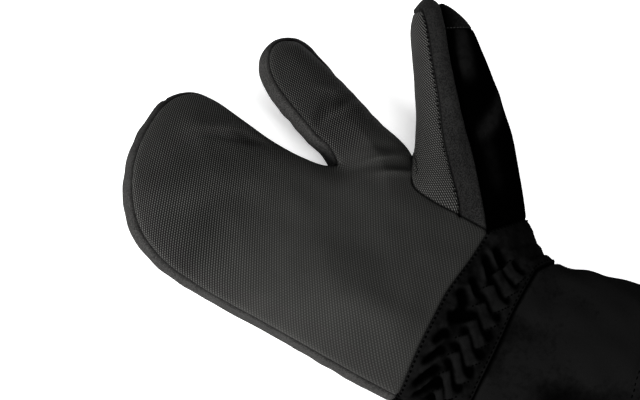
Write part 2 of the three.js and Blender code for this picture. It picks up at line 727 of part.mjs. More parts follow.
// A patch as a closed body: its outside, the inside a wall's depth below, and a rim between. Its
// edge stands back from the seam by half the gap.
function clothBody({ places, faces, wall, hem }) {
  const normals = places.map((p) => skinNormals.get(placeKey(p)).clone().normalize());
  const directed = new Set();
  for (const [a, b, c] of faces) [[a, b], [b, c], [c, a]].forEach(([u, v]) => directed.add(`${u} ${v}`));
  const pulls = places.map(() => []);
  const rim = [];
  for (const face of faces) {
    const normal = faceNormal(...face.map((i) => places[i])).normalize();
    face.forEach((u, k) => {
      const v = face[(k + 1) % 3];
      if (directed.has(`${v} ${u}`)) return;
      rim.push([u, v]);
      const inward = normal.clone().cross(places[v].clone().sub(places[u])).normalize();
      pulls[u].push(inward);
      pulls[v].push(inward);
    });
  }
  const outer = places.map((p, i) => {
    if (pulls[i].length === 0) return p.clone();
    const pull = pulls[i].reduce((sum, one) => sum.add(one), vec(0, 0, 0));
    pull.addScaledVector(normals[i], -pull.dot(normals[i])).normalize();
    const lean = Math.max(0.5, Math.min(...pulls[i].map((one) => one.dot(pull))));
    return p.clone().addScaledVector(pull, seamGap / 2 / lean);
  });
  const inner = outer.map((p, i) => {
    const depth = hem && places[i].y < gauntletEnd + 0.5 ? hem : wall;
    return p.clone().addScaledVector(normals[i], -depth);
  });
  const triangles = [];
  for (const [a, b, c] of faces) {
    triangles.push([outer[a], outer[b], outer[c]], [inner[a], inner[c], inner[b]]);
  }
  for (const [u, v] of rim) triangles.push([outer[v], outer[u], inner[u]], [outer[v], inner[u], inner[v]]);
  return triangles;
}

const grip = { color: 0x393936, roughness: 0.85, metalness: 0 };
const suede = { color: 0x2c2c2a, roughness: 0.95, metalness: 0 };
const nylon = { color: 0x0e0e10, roughness: 0.6, metalness: 0 };
const finishes = {
  palm_panel: grip,
  back_panel: nylon,
  outer_side_wall: suede,
  mitt_inner_wall: suede,
  index_side_wall: suede,
  thumb_pad: grip,
  thumb_side_wall: suede,
  thumb_back: nylon,
  thumb_tip_patch: suede,
  wrist_gather: nylon,
  gauntlet: nylon,
};

const glove = new THREE.Group();
glove.name = 'ski_glove';
for (const patch of patches) {
  const triangles = clothBody(patch);
  const geometry = new THREE.BufferGeometry().setFromPoints(triangles.flat());
  geometry.computeVertexNormals();
  const mesh = new THREE.Mesh(geometry, new THREE.MeshStandardMaterial(finishes[patch.name]));
  mesh.name = patch.name;
  glove.add(mesh);
}

export default glove;
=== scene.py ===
import math

import bpy
import numpy as np
from mathutils import Matrix, Vector, bvhtree, geometry, kdtree


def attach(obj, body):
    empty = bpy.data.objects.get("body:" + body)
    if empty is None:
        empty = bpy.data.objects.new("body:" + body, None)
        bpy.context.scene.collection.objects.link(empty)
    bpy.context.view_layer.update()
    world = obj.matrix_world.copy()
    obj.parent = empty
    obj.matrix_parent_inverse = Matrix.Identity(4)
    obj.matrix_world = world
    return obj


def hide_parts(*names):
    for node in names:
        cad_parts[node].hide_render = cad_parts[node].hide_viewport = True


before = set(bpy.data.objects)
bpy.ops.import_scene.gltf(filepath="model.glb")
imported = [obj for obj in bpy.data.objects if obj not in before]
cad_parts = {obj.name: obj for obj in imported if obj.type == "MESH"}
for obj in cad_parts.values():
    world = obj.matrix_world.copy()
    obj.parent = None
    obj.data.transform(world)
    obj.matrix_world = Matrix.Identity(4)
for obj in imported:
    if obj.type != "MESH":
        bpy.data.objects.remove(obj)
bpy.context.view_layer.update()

# Sizes are in millimetres, as in the part's own source, and become metres in mesh_object().
HAND_HALF_WIDTH = 50
MITT_LENGTH = 108
HEEL_LENGTH = 75
INDEX_HALF_WIDTH = 16
INDEX_LENGTH = 73
INDEX_ROOT = (73, -2)
INDEX_SPLAY_DEG = 24
BACK_SEAM_HEIGHT = 9
SIDE_HEIGHT = 16
PALM_SEAM_HEIGHT = BACK_SEAM_HEIGHT + SIDE_HEIGHT
PALM_CROWN = 19
MITT_CROWN = 15
INDEX_CROWN = 11
PALM_ROUNDING = 40
INDEX_ROUNDING = 15
BACK_ROUNDING = 26
SIDE_BULGE = 4
PANEL_EDGE_RISE = 12
TIP_LIFT = 6
TIP_LIFT_START = 55
THUMB_ROOT = (64, -65, 24)
THUMB_TURN_DEG = 32
THUMB_RISE_DEG = 14
THUMB_LENGTH = 114
THUMB_HALF_WIDTH = 13
THUMB_BAND_DEPTH = 14
THUMB_PAD_CROWN = 9
THUMB_BACK_CROWN = 20
THUMB_BULGE = 4
THUMB_BLEND_SHARE = 0.42
CROTCH_HOLD = 3.4
THUMB_ROUND_SHARE = 0.8
THUMB_CAP_LENGTH = 15
THUMB_PAD_END = 0.966
WRIST_LENGTH = 39
WRIST_HALF_WIDTH = 53
WRIST_HEIGHT = 47
WRIST_CENTRE_X = 7
GAUNTLET_LENGTH = 86
GAUNTLET_HALF_WIDTH = 66
GAUNTLET_HEIGHT = 64
GAUNTLET_CENTRE_X = 4
CUFF_SQUARENESS = 2.3
GATHER_DEPTH = 1.6
SIDE_WALL, THUMB_WALL = 3, 2.5
WALLS = {
    "palm_panel": 2.5, "back_panel": 4, "outer_side_wall": SIDE_WALL, "mitt_inner_wall": SIDE_WALL,
    "index_side_wall": SIDE_WALL, "thumb_pad": THUMB_WALL, "thumb_side_wall": THUMB_WALL,
    "thumb_back": THUMB_WALL, "thumb_tip_patch": THUMB_WALL, "wrist_gather": 2.6, "gauntlet": 2.2,
}

# Meshes: steps along the side seam and in the panels, the rings inside a panel's edge, and
# counts of steps along the edges of the thumb and along the thumb
SIDE_STEP = 1.3
PANEL_STEP = 1.7
PANEL_RINGS = [0.22, 0.6, 1.15, 1.9, 2.9, 4.2, 5.6]
PAD_STEPS = 44
THUMB_WRIST_STEPS = 28
BACK_THUMB_STEPS = 40
THUMB_STEPS = 84

# Seams: how deep the cloth is drawn in, how wide, and the puff beside it
SEAM_DEPTH = 1.9
FLAT_SEAM_DEPTH = 0.5
SEAM_WIDTH = 0.75
SEAM_PUFF = 0.4
CUFF_SEAM_DEPTH = 1.9
CUFF_SEAM_WIDTH = 1.1
TUCK_DEPTH = 2.6
TUCK_WIDTH = 2.4
HEM_LENGTH = 14
HEM_RISE = 0.9
HEM_GROOVE = 0.7
HEM_STITCH_AT = 12.8

# Gathers of the wrist: pitch, shares of its length at the elastic rows, and how far the ribs
# stand up and the cloth between them dips
GATHER_PITCH = 11
ELASTIC_ROWS = (0.36, 0.68)
RIB_RISE = 1.0
RIB_DIP = 3.4

# Beads of the grip cloth: pitch of the columns, of the beads in one, and the middle of their
# height. On the palm the columns stand square to this direction, from this middle.
GRIP_COLUMN = 1.27
GRIP_BEAD = 1.3
BEAD_MIDDLE = 0.36
COLUMN_TURN_DEG = -66.8
COLUMN_MIDDLE = (21.6, 17.3)
COLUMN_FAN = 0.0013
COLUMN_LEAN = 0.057
COLUMN_BOW = 0.00146
ROW_BOW = 0.0006
ROW_BEND = 0.00064
PULL_START = 6

# Rows of the side seam: across, along and how far the wall bulges
HEEL_SIDE = [(-1.0, -1.01, 0.5), (-0.98, -0.7, 0.6), (-0.94, -0.33, 0.4)]
MITT_SIDE = [
    (-0.9, 0.04, 0.15), (-0.875, 0.26, 0.1), (-0.835, 0.46, 0.4), (-0.745, 0.66, 0.75),
    (-0.555, 0.82, 1), (-0.245, 0.93, 1), (0.125, 0.99, 1), (0.525, 0.995, 1),
    (0.87, 0.955, 1), (1.06, 0.87, 1), (1.1, 0.76, 1), (1.05, 0.58, 1),
    (0.99, 0.4, 0.9), (0.98, 0.22, 0.7), (1.02, 0.1, 0.4), (1.09, 0.045, 0.2),
]
MITT_TIP_ROW = 8
INDEX_SIDE = [
    (-1.0, 0.125, 0.4), (-1.06, 0.26, 0.8), (-1.03, 0.45, 0.9), (-1.0, 0.62, 1),
    (-0.9, 0.78, 1), (-0.66, 0.9, 1.1), (-0.3, 0.975, 1), (0.08, 0.995, 1),
    (0.42, 0.965, 1.3), (0.7, 0.9, 1.5), (0.82, 0.8, 1.5), (0.88, 0.66, 1.3),
    (0.92, 0.5, 1.1), (0.97, 0.3, 1), (1.0, 0.12, 0.9), (1.05, -0.03, 0.8),
    (1.12, -0.15, 0.7), (1.15, -0.27, 0.6), (1.08, -0.36, 0.3),
]
PAD_SEAM = [(1.34, -0.46), (1.16, -0.49), (1.08, -0.66), (1.06, -0.89)]
THUMB_SIDE_SEAM = [(1.05, -1.0), (1.04, -1.13)]
WRIST_SEAM = [(0.82, -1.105), (0.6, -1.075), (0.4, -1.04), (0.2, -1.01), (-0.1, -0.99),
              (-0.45, -0.975), (-0.75, -0.985)]
THUMB_WRIST_SEAM = [(1.26, -1.27, 0.84), (1.5, -1.42, 0.6), (1.56, -1.45, 0.36)]
BACK_THUMB_CORNER = (1.46, -1.41)
BACK_THUMB_SEAM = [(1.62, -1.1), (1.62, -0.76)]
BACK_WRIST_SEAM = [(-0.7, -1.04), (-0.2, -1.1), (0.4, -1.17), (1.0, -1.28)]

# Folds of the palm side: x, y, turn in degrees, half length, half width, height
PALM_FOLDS = [
    (66.8, -17.6, -53, 15, 1.5, 2.4),
    (64.5, -22.2, -61, 13, 2.5, -2.2),
    (61, -25.9, -60, 10, 1.5, 2.1),
    (72.6, -15, -63, 11, 3.0, -1.9),
    (54.6, -2.9, -49, 12, 4.5, -1.0),
    (73.5, 25.6, 2, 10, 2.4, -2.6),
    (65.7, 30.1, -134, 8, 2.3, 2.0),
    (89, 26, -75, 10, 2.4, 1.7),
    (82.3, 15, -38, 13, 2.2, 2.2),
    (87.8, 18.3, -43, 8, 2.2, -1.8),
    (41.7, 70.1, -60, 17, 2.2, 1.9),
    (43.6, 55, -80, 8, 2.4, -2.0),
    (38.5, 62, -68, 13, 1.8, -1.2),
    (15.4, 78.7, -49, 28, 8, -1.2),
    (2.7, 62.9, -49, 32, 8, 1.1),
    (-13.5, 55.8, -5, 26, 8, -1.3),
    (12.5, -18.4, 70, 26, 16, -2.4),
    (-22.5, -45.4, 80, 20, 14, 1.6),
]

# Thumb sections: along, width, band, pad, back, front
THUMB_SECTIONS = [
    (0, 1.12, 1.3, 1.2, 1.6, 0),
    (0.25, 1.12, 1.22, 1.05, 1.6, 0),
    (0.5, 1.05, 0.9, 0.8, 1.5, 0.14),
    (0.75, 0.98, 0.82, 0.5, 1.2, 0.32),
    (0.9, 0.94, 0.82, 0.42, 0.92, 0.36),
    (1, 0.9, 0.86, 0, 0.5, 0.36),
]

# Ways in the plan: the edges that face the first get painted shade, those that face the second a painted
# highlight
DARK_WAY = np.array([0.87, 0.44])
LIGHT_WAY = np.array([-0.45, 0.89])

# Folds in the back of the thumb: from share along, share across, to the same, half width and
# height in millimetres
THUMB_GIRTH = 62
THUMB_FOLDS = [
    (0.89, 0.17, 0.64, 0.09, 4.9, 1.6),
    (0.6, 0.51, 0.38, 0.08, 3.6, 1.8),
    (0.35, 0.11, 0.14, 0.11, 3.0, 0.6),
    (0.72, 0.34, 0.6, 0.3, 5, -0.7),
    (0.26, 0.4, 0.38, 0.34, 6, -0.8),
    (0.2, 0.62, 0.42, 0.72, 5, 1.0),
    (0.55, 0.8, 0.75, 0.7, 5, 1.0),
]

# Rows of the wrist: past, follow, round, out
WRIST_ROWS = [
    (0, 1, 0, 0), (0.17, 0.97, 0.3, 0.6), (0.36, 0.9, 0.6, -0.5), (0.52, 0.82, 0.8, 0.6),
    (0.68, 0.74, 0.92, -0.4), (0.84, 0.66, 1, 0.5), (1, 0.6, 1, -0.3),
]

# Puckers of the wrist: from x, y to x, y, half width and height
WRIST_FOLDS = [
    (38.7, -88.6, 26.2, -97.0, 2.3, -3.0),
    (23.4, -85.7, 14.5, -92.7, 2.4, -3.0),
    (14.3, -81.5, 6.8, -88.2, 3.0, -2.8),
    (-3.3, -81.5, 3.5, -91.2, 3.4, -3.0),
    (-19.1, -79.5, -9.7, -84.6, 2.6, -2.8),
    (-32.0, -79.0, -19.5, -86.5, 2.3, -2.8),
    (-44.3, -79.4, -29.4, -87.8, 2.2, -2.8),
    (-48.9, -83.0, -36.0, -90.4, 2.0, -2.4),
    (45.6, -92.9, 34.2, -102.2, 2.6, -2.8),
    (42.4, -88.0, 35.3, -97.9, 1.6, 1.7),
    (32.2, -88.5, 24.4, -93.9, 1.6, 1.6),
    (18.8, -84.5, 13.0, -91.5, 1.6, 1.7),
    (2.2, -78.0, 2.6, -84.0, 2.0, 1.0),
    (-8.2, -79.0, -8.3, -83.3, 2.0, 1.1),
    (-24.3, -79.5, -13.3, -84.9, 1.5, 1.6),
    (-35.3, -79.8, -22.8, -86.8, 1.5, 1.7),
    (-44.9, -83.4, -35.4, -87.8, 1.4, 1.5),
]

# Ribs between the elastic rows: top x, y, bottom x, y, half width
WRIST_RIBS = [
    (38.6, -100.7, 33.2, -111.8, 4.0),
    (32.4, -96.9, 23.4, -109.3, 4.3),
    (22.5, -95.5, 12.5, -106.7, 4.8),
    (11.2, -94.6, 1.2, -105.3, 4.5),
    (0.7, -93.6, -10.6, -104.6, 4.2),
    (-9.1, -92.4, -21.5, -104.1, 3.9),
    (-19.4, -91.9, -32.1, -103.3, 3.4),
    (-30.5, -91.7, -41.1, -101.7, 3.0),
    (-39.6, -92.8, -48.6, -101.8, 2.7),
]


def mix(a, b, share):
    return a + (b - a) * share


def ease(value):
    t = np.clip(value, 0, 1)
    return t * t * (3 - 2 * t)


def dome(share, power=1.8):
    t = np.clip(share, 0, 1)
    return (1 - (1 - t) ** power) ** (1 / power)


def bell(distance, width, power=2):
    return np.exp(-(distance / width) ** power)


def between(rows, at, column):
    """A column of a table between its rows, on a smooth curve."""
    table = np.array(rows, float)
    key, values = table[:, 0], table[:, column]
    at = np.asarray(at, float)
    i = np.clip(np.searchsorted(key, at, side="right") - 1, 0, len(key) - 2)
    a, d = np.maximum(i - 1, 0), np.minimum(i + 2, len(key) - 1)
    span = key[i + 1] - key[i]
    t = np.clip((at - key[i]) / span, 0, 1)
    slope_b = (values[i + 1] - values[a]) / (key[i + 1] - key[a]) * span
    slope_c = (values[d] - values[i]) / (key[d] - key[i]) * span
    t2, t3 = t * t, t * t * t
    return ((2 * t3 - 3 * t2 + 1) * values[i] + (t3 - 2 * t2 + t) * slope_b
            + (3 * t2 - 2 * t3) * values[i + 1] + (t3 - t2) * slope_c)


def curve_at(places, at):
    """Points of the smooth curve through the places, at 0 for the first and n - 1 for the last."""
    p = np.asarray(places, float)
    ends = np.vstack([2 * p[0] - p[1], p, 2 * p[-1] - p[-2]])
    at = np.asarray(at, float)
    i = np.clip(np.floor(at).astype(int), 0, len(p) - 2)
    w = (at - i)[:, None]
    p0, p1, p2, p3 = ends[i], ends[i + 1], ends[i + 2], ends[i + 3]
    d0, d1, d2 = ((((b - a) ** 2).sum(1) ** 0.25)[:, None]
                  for a, b in ((p0, p1), (p1, p2), (p2, p3)))
    t1 = ((p1 - p0) / d0 - (p2 - p0) / (d0 + d1) + (p2 - p1) / d1) * d1
    t2 = ((p2 - p1) / d1 - (p3 - p1) / (d1 + d2) + (p3 - p2) / d2) * d1
    c2 = -3 * p1 + 3 * p2 - 2 * t1 - t2
    c3 = 2 * p1 - 2 * p2 + t1 + t2
    return p1 + (t1 + (c2 + c3 * w) * w) * w


def run_along(line):
    """Length along a line up to each of its points."""
    return np.concatenate([[0], np.cumsum(np.linalg.norm(np.diff(line, axis=0), axis=1))])


def spaced(places, shares):
    """Points of the same curve at shares of its length."""
    p = np.asarray(places, float)
    at = np.linspace(0, len(p) - 1, 401)
    line = curve_at(p, at)
    run = run_along(line)
    points = curve_at(p, np.interp(np.asarray(shares) * run[-1], run, at))
    points[0], points[-1] = p[0], p[-1]
    return points


def even(parts):
    return np.linspace(0, 1, parts + 1)


def edged(parts, strength=0.8):
    """Shares from 0 to 1 that crowd towards both ends."""
    t = even(parts)
    return mix(t, (1 - np.cos(np.pi * t)) / 2, strength)


# Plan of the glove
TURN = math.radians(INDEX_SPLAY_DEG)


def index_place(row):
    s, a = row[0] * INDEX_HALF_WIDTH, row[1] * INDEX_LENGTH
    return (INDEX_ROOT[0] + s * math.cos(TURN) + a * math.sin(TURN),
            INDEX_ROOT[1] - s * math.sin(TURN) + a * math.cos(TURN), 0)


def heel_place(row):
    return (row[0] * HAND_HALF_WIDTH, row[1] * HEEL_LENGTH, 0)


def heel_places(rows):
    return [heel_place(r) for r in rows]


def mitt_place(row):
    return (row[0] * HAND_HALF_WIDTH, row[1] * MITT_LENGTH, 0)


SIDE_ROWS = HEEL_SIDE + MITT_SIDE + INDEX_SIDE
SIDE_PLACES = np.array(heel_places(HEEL_SIDE) + [mitt_place(r) for r in MITT_SIDE]
                       + [index_place(r) for r in INDEX_SIDE], float)


def sampled_side():
    at, marks = [0.0], [0]
    for i in range(len(SIDE_PLACES) - 1):
        parts = max(1, round(np.linalg.norm(SIDE_PLACES[i + 1] - SIDE_PLACES[i]) / SIDE_STEP))
        at += [i + k / parts for k in range(1, parts + 1)]
        marks.append(len(at) - 1)
    at = np.array(at)
    return curve_at(SIDE_PLACES, at), marks, at


side, side_marks, side_at = sampled_side()
tip_mark = side_marks[len(HEEL_SIDE) + MITT_TIP_ROW]
crotch_mark = side_marks[len(HEEL_SIDE) + len(MITT_SIDE) - 1]
outer_corner, thumb_crotch = side[0], side[-1]

BAND = edged(16)
pad_line = spaced([thumb_crotch] + heel_places(PAD_SEAM), even(PAD_STEPS))
near_line = spaced([pad_line[-1]] + heel_places(THUMB_SIDE_SEAM), BAND)
thumb_corner = near_line[-1]
wrist_line = spaced([thumb_corner] + heel_places(WRIST_SEAM) + [outer_corner], even(110))
back_corner = np.array(heel_place(BACK_THUMB_CORNER), float)
back_thumb_line = spaced([back_corner] + heel_places(BACK_THUMB_SEAM) + [thumb_crotch],
                         even(BACK_THUMB_STEPS))
back_wrist_line = spaced([outer_corner] + heel_places(BACK_WRIST_SEAM) + [back_corner], even(90))


def nearest_on(line, xy):
    """Distance from plan points to a line, and the unit direction towards it."""
    xy = np.asarray(xy, float)
    best = np.full(len(xy), 1e9)
    towards = np.zeros((len(xy), 2))
    a, d = line[:-1, :2], np.diff(line[:, :2], axis=0)
    keep = (d ** 2).sum(1) > 1e-9
    a, d = a[keep], d[keep]
    for start in range(0, len(xy), 4000):
        p = xy[start:start + 4000]
        rel = p[:, None] - a[None]
        t = np.clip((rel * d).sum(2) / (d ** 2).sum(1), 0, 1)
        gap = rel - t[..., None] * d
        far = np.sqrt((gap ** 2).sum(2))
        k = far.argmin(1)
        rows = np.arange(len(p))
        best[start:start + 4000] = far[rows, k]
        towards[start:start + 4000] = -gap[rows, k] / np.maximum(far[rows, k], 1e-6)[:, None]
    return best, towards


def curl(y):
    return TIP_LIFT * np.maximum(0, (y - TIP_LIFT_START) / (MITT_LENGTH - TIP_LIFT_START)) ** 2


def index_share(x, y):
    dx, dy = x - INDEX_ROOT[0], y - INDEX_ROOT[1]
    across = (dx * math.cos(TURN) - dy * math.sin(TURN)) / INDEX_HALF_WIDTH
    along = (dx * math.sin(TURN) + dy * math.cos(TURN)) / INDEX_LENGTH
    return ease((along + 0.16) / 0.46) * ease((across + 2) / 0.9)


def fold_height(x, y):
    total = np.zeros_like(x)
    for cx, cy, turn, half, wide, high in PALM_FOLDS:
        t = math.radians(turn)
        u = ((x - cx) * math.cos(t) + (y - cy) * math.sin(t)) / half
        v = ((y - cy) * math.cos(t) - (x - cx) * math.sin(t)) / wide
        total += high * np.exp(-u * u - v * v)
    return total


def palm_height(x, y):
    x, y = np.asarray(x, float), np.asarray(y, float)
    reach, _ = nearest_on(side, np.stack([x, y], 1))
    share = index_share(x, y)
    rounding = mix(PALM_ROUNDING, INDEX_ROUNDING, share)
    crown = mix(mix(PALM_CROWN, MITT_CROWN, ease((y + HEEL_LENGTH) / (HEEL_LENGTH + MITT_LENGTH))),
                INDEX_CROWN, share)
    return (PALM_SEAM_HEIGHT + crown * dome(reach / rounding) + fold_height(x, y) * ease(reach / 4)
            + curl(y))


back_edge = np.vstack([back_thumb_line[:-1], side[::-1]])


def back_height(x, y):
    x, y = np.asarray(x, float), np.asarray(y, float)
    reach, _ = nearest_on(back_edge, np.stack([x, y], 1))
    rounding = mix(BACK_ROUNDING, INDEX_ROUNDING, index_share(x, y))
    return BACK_SEAM_HEIGHT * (1 - dome(reach / rounding)) + curl(y)


def on_palm(line):
    return np.column_stack([line[:, :2], palm_height(line[:, 0], line[:, 1])])


def on_back(line):
    return np.column_stack([line[:, :2], back_height(line[:, 0], line[:, 1])])


# A patch of the glove's skin has points, faces and cloth coordinates in millimetres
patches = {}


def grid_patch(name, rows, flip=False):
    rows = np.asarray(rows, float)
    n, m = rows.shape[:2]
    k = np.arange(n * m).reshape(n, m)
    a, b, c, d = k[:-1, :-1], k[:-1, 1:], k[1:, 1:], k[1:, :-1]
    quads = np.stack([a, d, c, b] if flip else [a, b, c, d], -1).reshape(-1, 4)
    down = np.linalg.norm(np.diff(rows, axis=0), axis=2)
    across = np.linalg.norm(np.diff(rows, axis=1), axis=2)
    u = np.vstack([np.zeros(m), np.cumsum(down, axis=0)]).mean(1)[:, None] * np.ones(m)
    v = np.column_stack([np.zeros(n), np.cumsum(across, axis=1)])
    v -= v[:, -1:] / 2
    patches[name] = {"points": rows.reshape(-1, 3), "faces": quads.tolist(),
                     "cloth": np.stack([u, v], -1).reshape(-1, 2), "grid": (n, m)}


def inside(outline, xy):
    x, y = xy[:, 0], xy[:, 1]
    a, b = outline, np.roll(outline, 1, axis=0)
    found = np.zeros(len(xy), bool)
    for (ax, ay), (bx, by) in zip(a[:, :2], b[:, :2]):
        if ay != by:
            found ^= ((ay > y) != (by > y)) & (x < (bx - ax) * (y - ay) / (by - ay) + ax)
    return found


def pulled(cloth):
    """The grip cloth is drawn out towards the thumb, so its columns fan and lean a little."""
    turn = math.radians(COLUMN_TURN_DEG)
    dx, dy = cloth[:, 0] - COLUMN_MIDDLE[0], cloth[:, 1] - COLUMN_MIDDLE[1]
    across = dx * math.cos(turn) + dy * math.sin(turn)
    along = dx * math.sin(turn) - dy * math.cos(turn)
    near = np.maximum(0, across - PULL_START)
    new_across = (across - COLUMN_FAN * near ** 2 - COLUMN_FAN * across * along
                  + COLUMN_LEAN * along - COLUMN_BOW * along ** 2)
    new_along = along - ROW_BOW * along ** 2 - COLUMN_LEAN * across + ROW_BEND * across ** 2
    return np.stack([new_across, new_along], 1)


def crowned_patch(name, outline, height, faces_up):
    """A crowned panel over a closed outline that has the panel on its left."""
    outline = outline[:, :2]
    before, after = np.roll(outline, 1, axis=0), np.roll(outline, -1, axis=0)
    run = after - before
    run /= np.linalg.norm(run, axis=1)[:, None]
    inward = np.stack([-run[:, 1], run[:, 0]], 1)
    closed = np.vstack([outline, outline[:1]])
    points = [outline]
    for inset in PANEL_RINGS:
        ring = outline + inward * inset
        reach, _ = nearest_on(closed, ring)
        points.append(ring[(reach > inset * 0.93) & inside(outline, ring)])
    lo, hi = outline.min(0), outline.max(0)
    rise = PANEL_STEP * math.sqrt(3) / 2
    grid = [(x + (row % 2) * PANEL_STEP / 2, lo[1] + row * rise)
            for row in range(int((hi[1] - lo[1]) / rise) + 1)
            for x in np.arange(lo[0], hi[0], PANEL_STEP)]
    grid = np.array(grid)
    grid = grid[inside(outline, grid)]
    reach, _ = nearest_on(closed, grid)
    points.append(grid[reach > PANEL_RINGS[-1] + PANEL_STEP * 0.55])
    flat = np.vstack(points)
    count = len(outline)
    edges = [(i, (i + 1) % count) for i in range(count)]
    made = geometry.delaunay_2d_cdt([Vector(p) for p in flat], edges, [], 1, 1e-4)
    origin = [o[0] for o in made[3]]
    flat = flat[origin]
    faces = [list(f) if faces_up else list(f)[::-1] for f in made[2]]
    reach, towards = nearest_on(closed, flat)
    # Cloth coordinates follow the cloth over its rounded edge
    steps = np.linspace(0, 9, 91)
    rise_at = PANEL_EDGE_RISE * dome(steps / BACK_ROUNDING)
    arc = np.concatenate([[0], np.cumsum(np.hypot(np.diff(steps), np.diff(rise_at)))])
    excess = (arc[-1] - arc) - (steps[-1] - steps)
    cloth = flat + towards * np.interp(reach, steps, excess)[:, None]
    patches[name] = {"points": np.column_stack([flat, height(flat[:, 0], flat[:, 1])]),
                     "faces": faces, "cloth": pulled(cloth)}


palm_outline = np.vstack([side[:-1], pad_line[:-1], near_line[:-1], wrist_line[:-1]])[::-1]
back_outline = np.vstack([side[:-1], back_thumb_line[::-1][:-1], back_wrist_line[::-1][:-1]])[::-1]
crowned_patch("palm_panel", palm_outline, palm_height, True)
crowned_patch("back_panel", back_outline, back_height, False)

# Side walls
side_run = np.vstack([side[1] - side[0], side[2:] - side[:-2], side[-1] - side[-2]])[:, :2]
side_run /= np.linalg.norm(side_run, axis=1)[:, None]
side_out = np.stack([-side_run[:, 1], side_run[:, 0]], 1)
bulge = SIDE_BULGE * np.interp(side_at, np.arange(len(SIDE_ROWS)), [r[2] for r in SIDE_ROWS])
side_top, side_bottom = on_palm(side), on_back(side)
side_columns = mix(side_top[:, None], side_bottom[:, None], BAND[None, :, None])
side_columns[:, :, :2] += (side_out * bulge[:, None])[:, None] * np.sin(np.pi * BAND)[None, :, None]
grid_patch("outer_side_wall", side_columns[:tip_mark + 1], True)
grid_patch("mitt_inner_wall", side_columns[tip_mark:crotch_mark + 1], True)
grid_patch("index_side_wall", side_columns[crotch_mark:], True)

# Thumb
turn, rise = math.radians(THUMB_TURN_DEG), math.radians(THUMB_RISE_DEG)
thumb_root = np.array(THUMB_ROOT, float)
thumb_axis = np.array([math.cos(rise) * math.cos(turn), math.cos(rise) * math.sin(turn), math.sin(rise)])
thumb_front = np.array([-math.sin(turn), math.cos(turn), 0])
thumb_up = np.cross(thumb_axis, thumb_front)
corner_top = on_palm(thumb_corner[None])[0]
corner_back = on_back(back_corner[None])[0]
thumb_arc = [corner_top] + [(*heel_place(r)[:2], r[2] * (PALM_SEAM_HEIGHT + PALM_CROWN))
                            for r in THUMB_WRIST_SEAM] + [corner_back]
thumb_wrist_line = spaced(thumb_arc, even(THUMB_WRIST_STEPS))
PAD_SHARES = even(PAD_STEPS)
BACK_SPLIT = 7 / 15
BACK_SHARES = np.concatenate([even(THUMB_WRIST_STEPS) * BACK_SPLIT,
                              mix(BACK_SPLIT, 1, even(BACK_THUMB_STEPS)[1:])])
thumb_ring = np.vstack([on_palm(pad_line)[:-1], on_palm(near_line)[:-1], thumb_wrist_line[:-1],
                        on_back(back_thumb_line)[:-1], side_columns[-1][::-1]])
# Places in the thumb's ring where the band beside the pad starts, and the back, and the far band
NEAR = PAD_STEPS
BACK = NEAR + len(BAND) - 1
FAR = BACK + len(BACK_SHARES) - 1


def thumb_row(share):
    rel = thumb_ring - thumb_root
    ahead_of = rel @ thumb_axis
    hold = np.where(ahead_of > 0, CROTCH_HOLD, 2)
    length = THUMB_LENGTH * share + ahead_of * (1 - share) ** hold
    at = np.clip(length / THUMB_LENGTH, 0, 1)
    ending = np.clip((at - THUMB_ROUND_SHARE) / (1 - THUMB_ROUND_SHARE), 0, 1)
    taper = np.sqrt(1 - ending ** 2)
    width = THUMB_HALF_WIDTH * between(THUMB_SECTIONS, at, 1) * taper
    half = THUMB_BAND_DEPTH * between(THUMB_SECTIONS, at, 2) / 2
    ahead = THUMB_BAND_DEPTH * between(THUMB_SECTIONS, at, 5)
    n = len(thumb_ring)
    front, up, on = np.zeros(n), np.zeros(n), np.zeros(n)
    for part, shares, column, high, way in (
            (slice(0, NEAR + 1), PAD_SHARES, 3, THUMB_PAD_CROWN, 1),
            (slice(BACK, FAR + 1), BACK_SHARES, 4, THUMB_BACK_CROWN, -1)):
        crown = (high * between(THUMB_SECTIONS, at, column) * np.sqrt(taper))[part]
        front[part] = ahead[part] + way * half[part] + way * crown * np.sin(np.pi * shares)
        up[part] = -way * width[part] * np.cos(np.pi * shares)
    for part, shares, sign in ((slice(NEAR, BACK + 1), BAND, 1), (slice(FAR, n), BAND[::-1], -1)):
        out = THUMB_BULGE * np.sin(np.pi * shares)
        tilt = ending[part] ** 2
        front[part] = ahead[part] + mix(half[part], -half[part], shares)
        up[part] = sign * (width[part] + out * np.sqrt(1 - tilt * tilt))
        on[part] = out * tilt
    own = ease(share / THUMB_BLEND_SHARE)
    front, up = mix(rel @ thumb_front, front, own), mix(rel @ thumb_up, up, own)
    return (thumb_root + np.outer(length + on * own, thumb_axis) + np.outer(front, thumb_front)
            + np.outer(up, thumb_up))


CAP_SHARE = 1 - THUMB_CAP_LENGTH / THUMB_LENGTH
thumb_shares = edged(THUMB_STEPS, 0.9)
for fixed in (CAP_SHARE, THUMB_PAD_END):
    thumb_shares = thumb_shares[np.abs(thumb_shares - fixed) > 0.009]
    thumb_shares = np.sort(np.append(thumb_shares, [fixed - 0.005, fixed, fixed + 0.005]))
cap_row = int(np.abs(thumb_shares - CAP_SHARE).argmin())
pad_row = int(np.abs(thumb_shares - THUMB_PAD_END).argmin())
thumb_grid = np.array([thumb_ring if s == 0 else thumb_row(s) for s in thumb_shares])
grid_patch("thumb_pad", thumb_grid[:pad_row + 1, :NEAR + 1])
grid_patch("thumb_back", thumb_grid[:cap_row + 1, BACK:FAR + 1])
grid_patch("thumb_tip_patch", thumb_grid[cap_row:, BACK:FAR + 1])
grid_patch("near band", thumb_grid[:, NEAR:BACK + 1])
grid_patch("far band", thumb_grid[:, FAR:])
grid_patch("band tip", thumb_grid[pad_row:, :NEAR + 1])


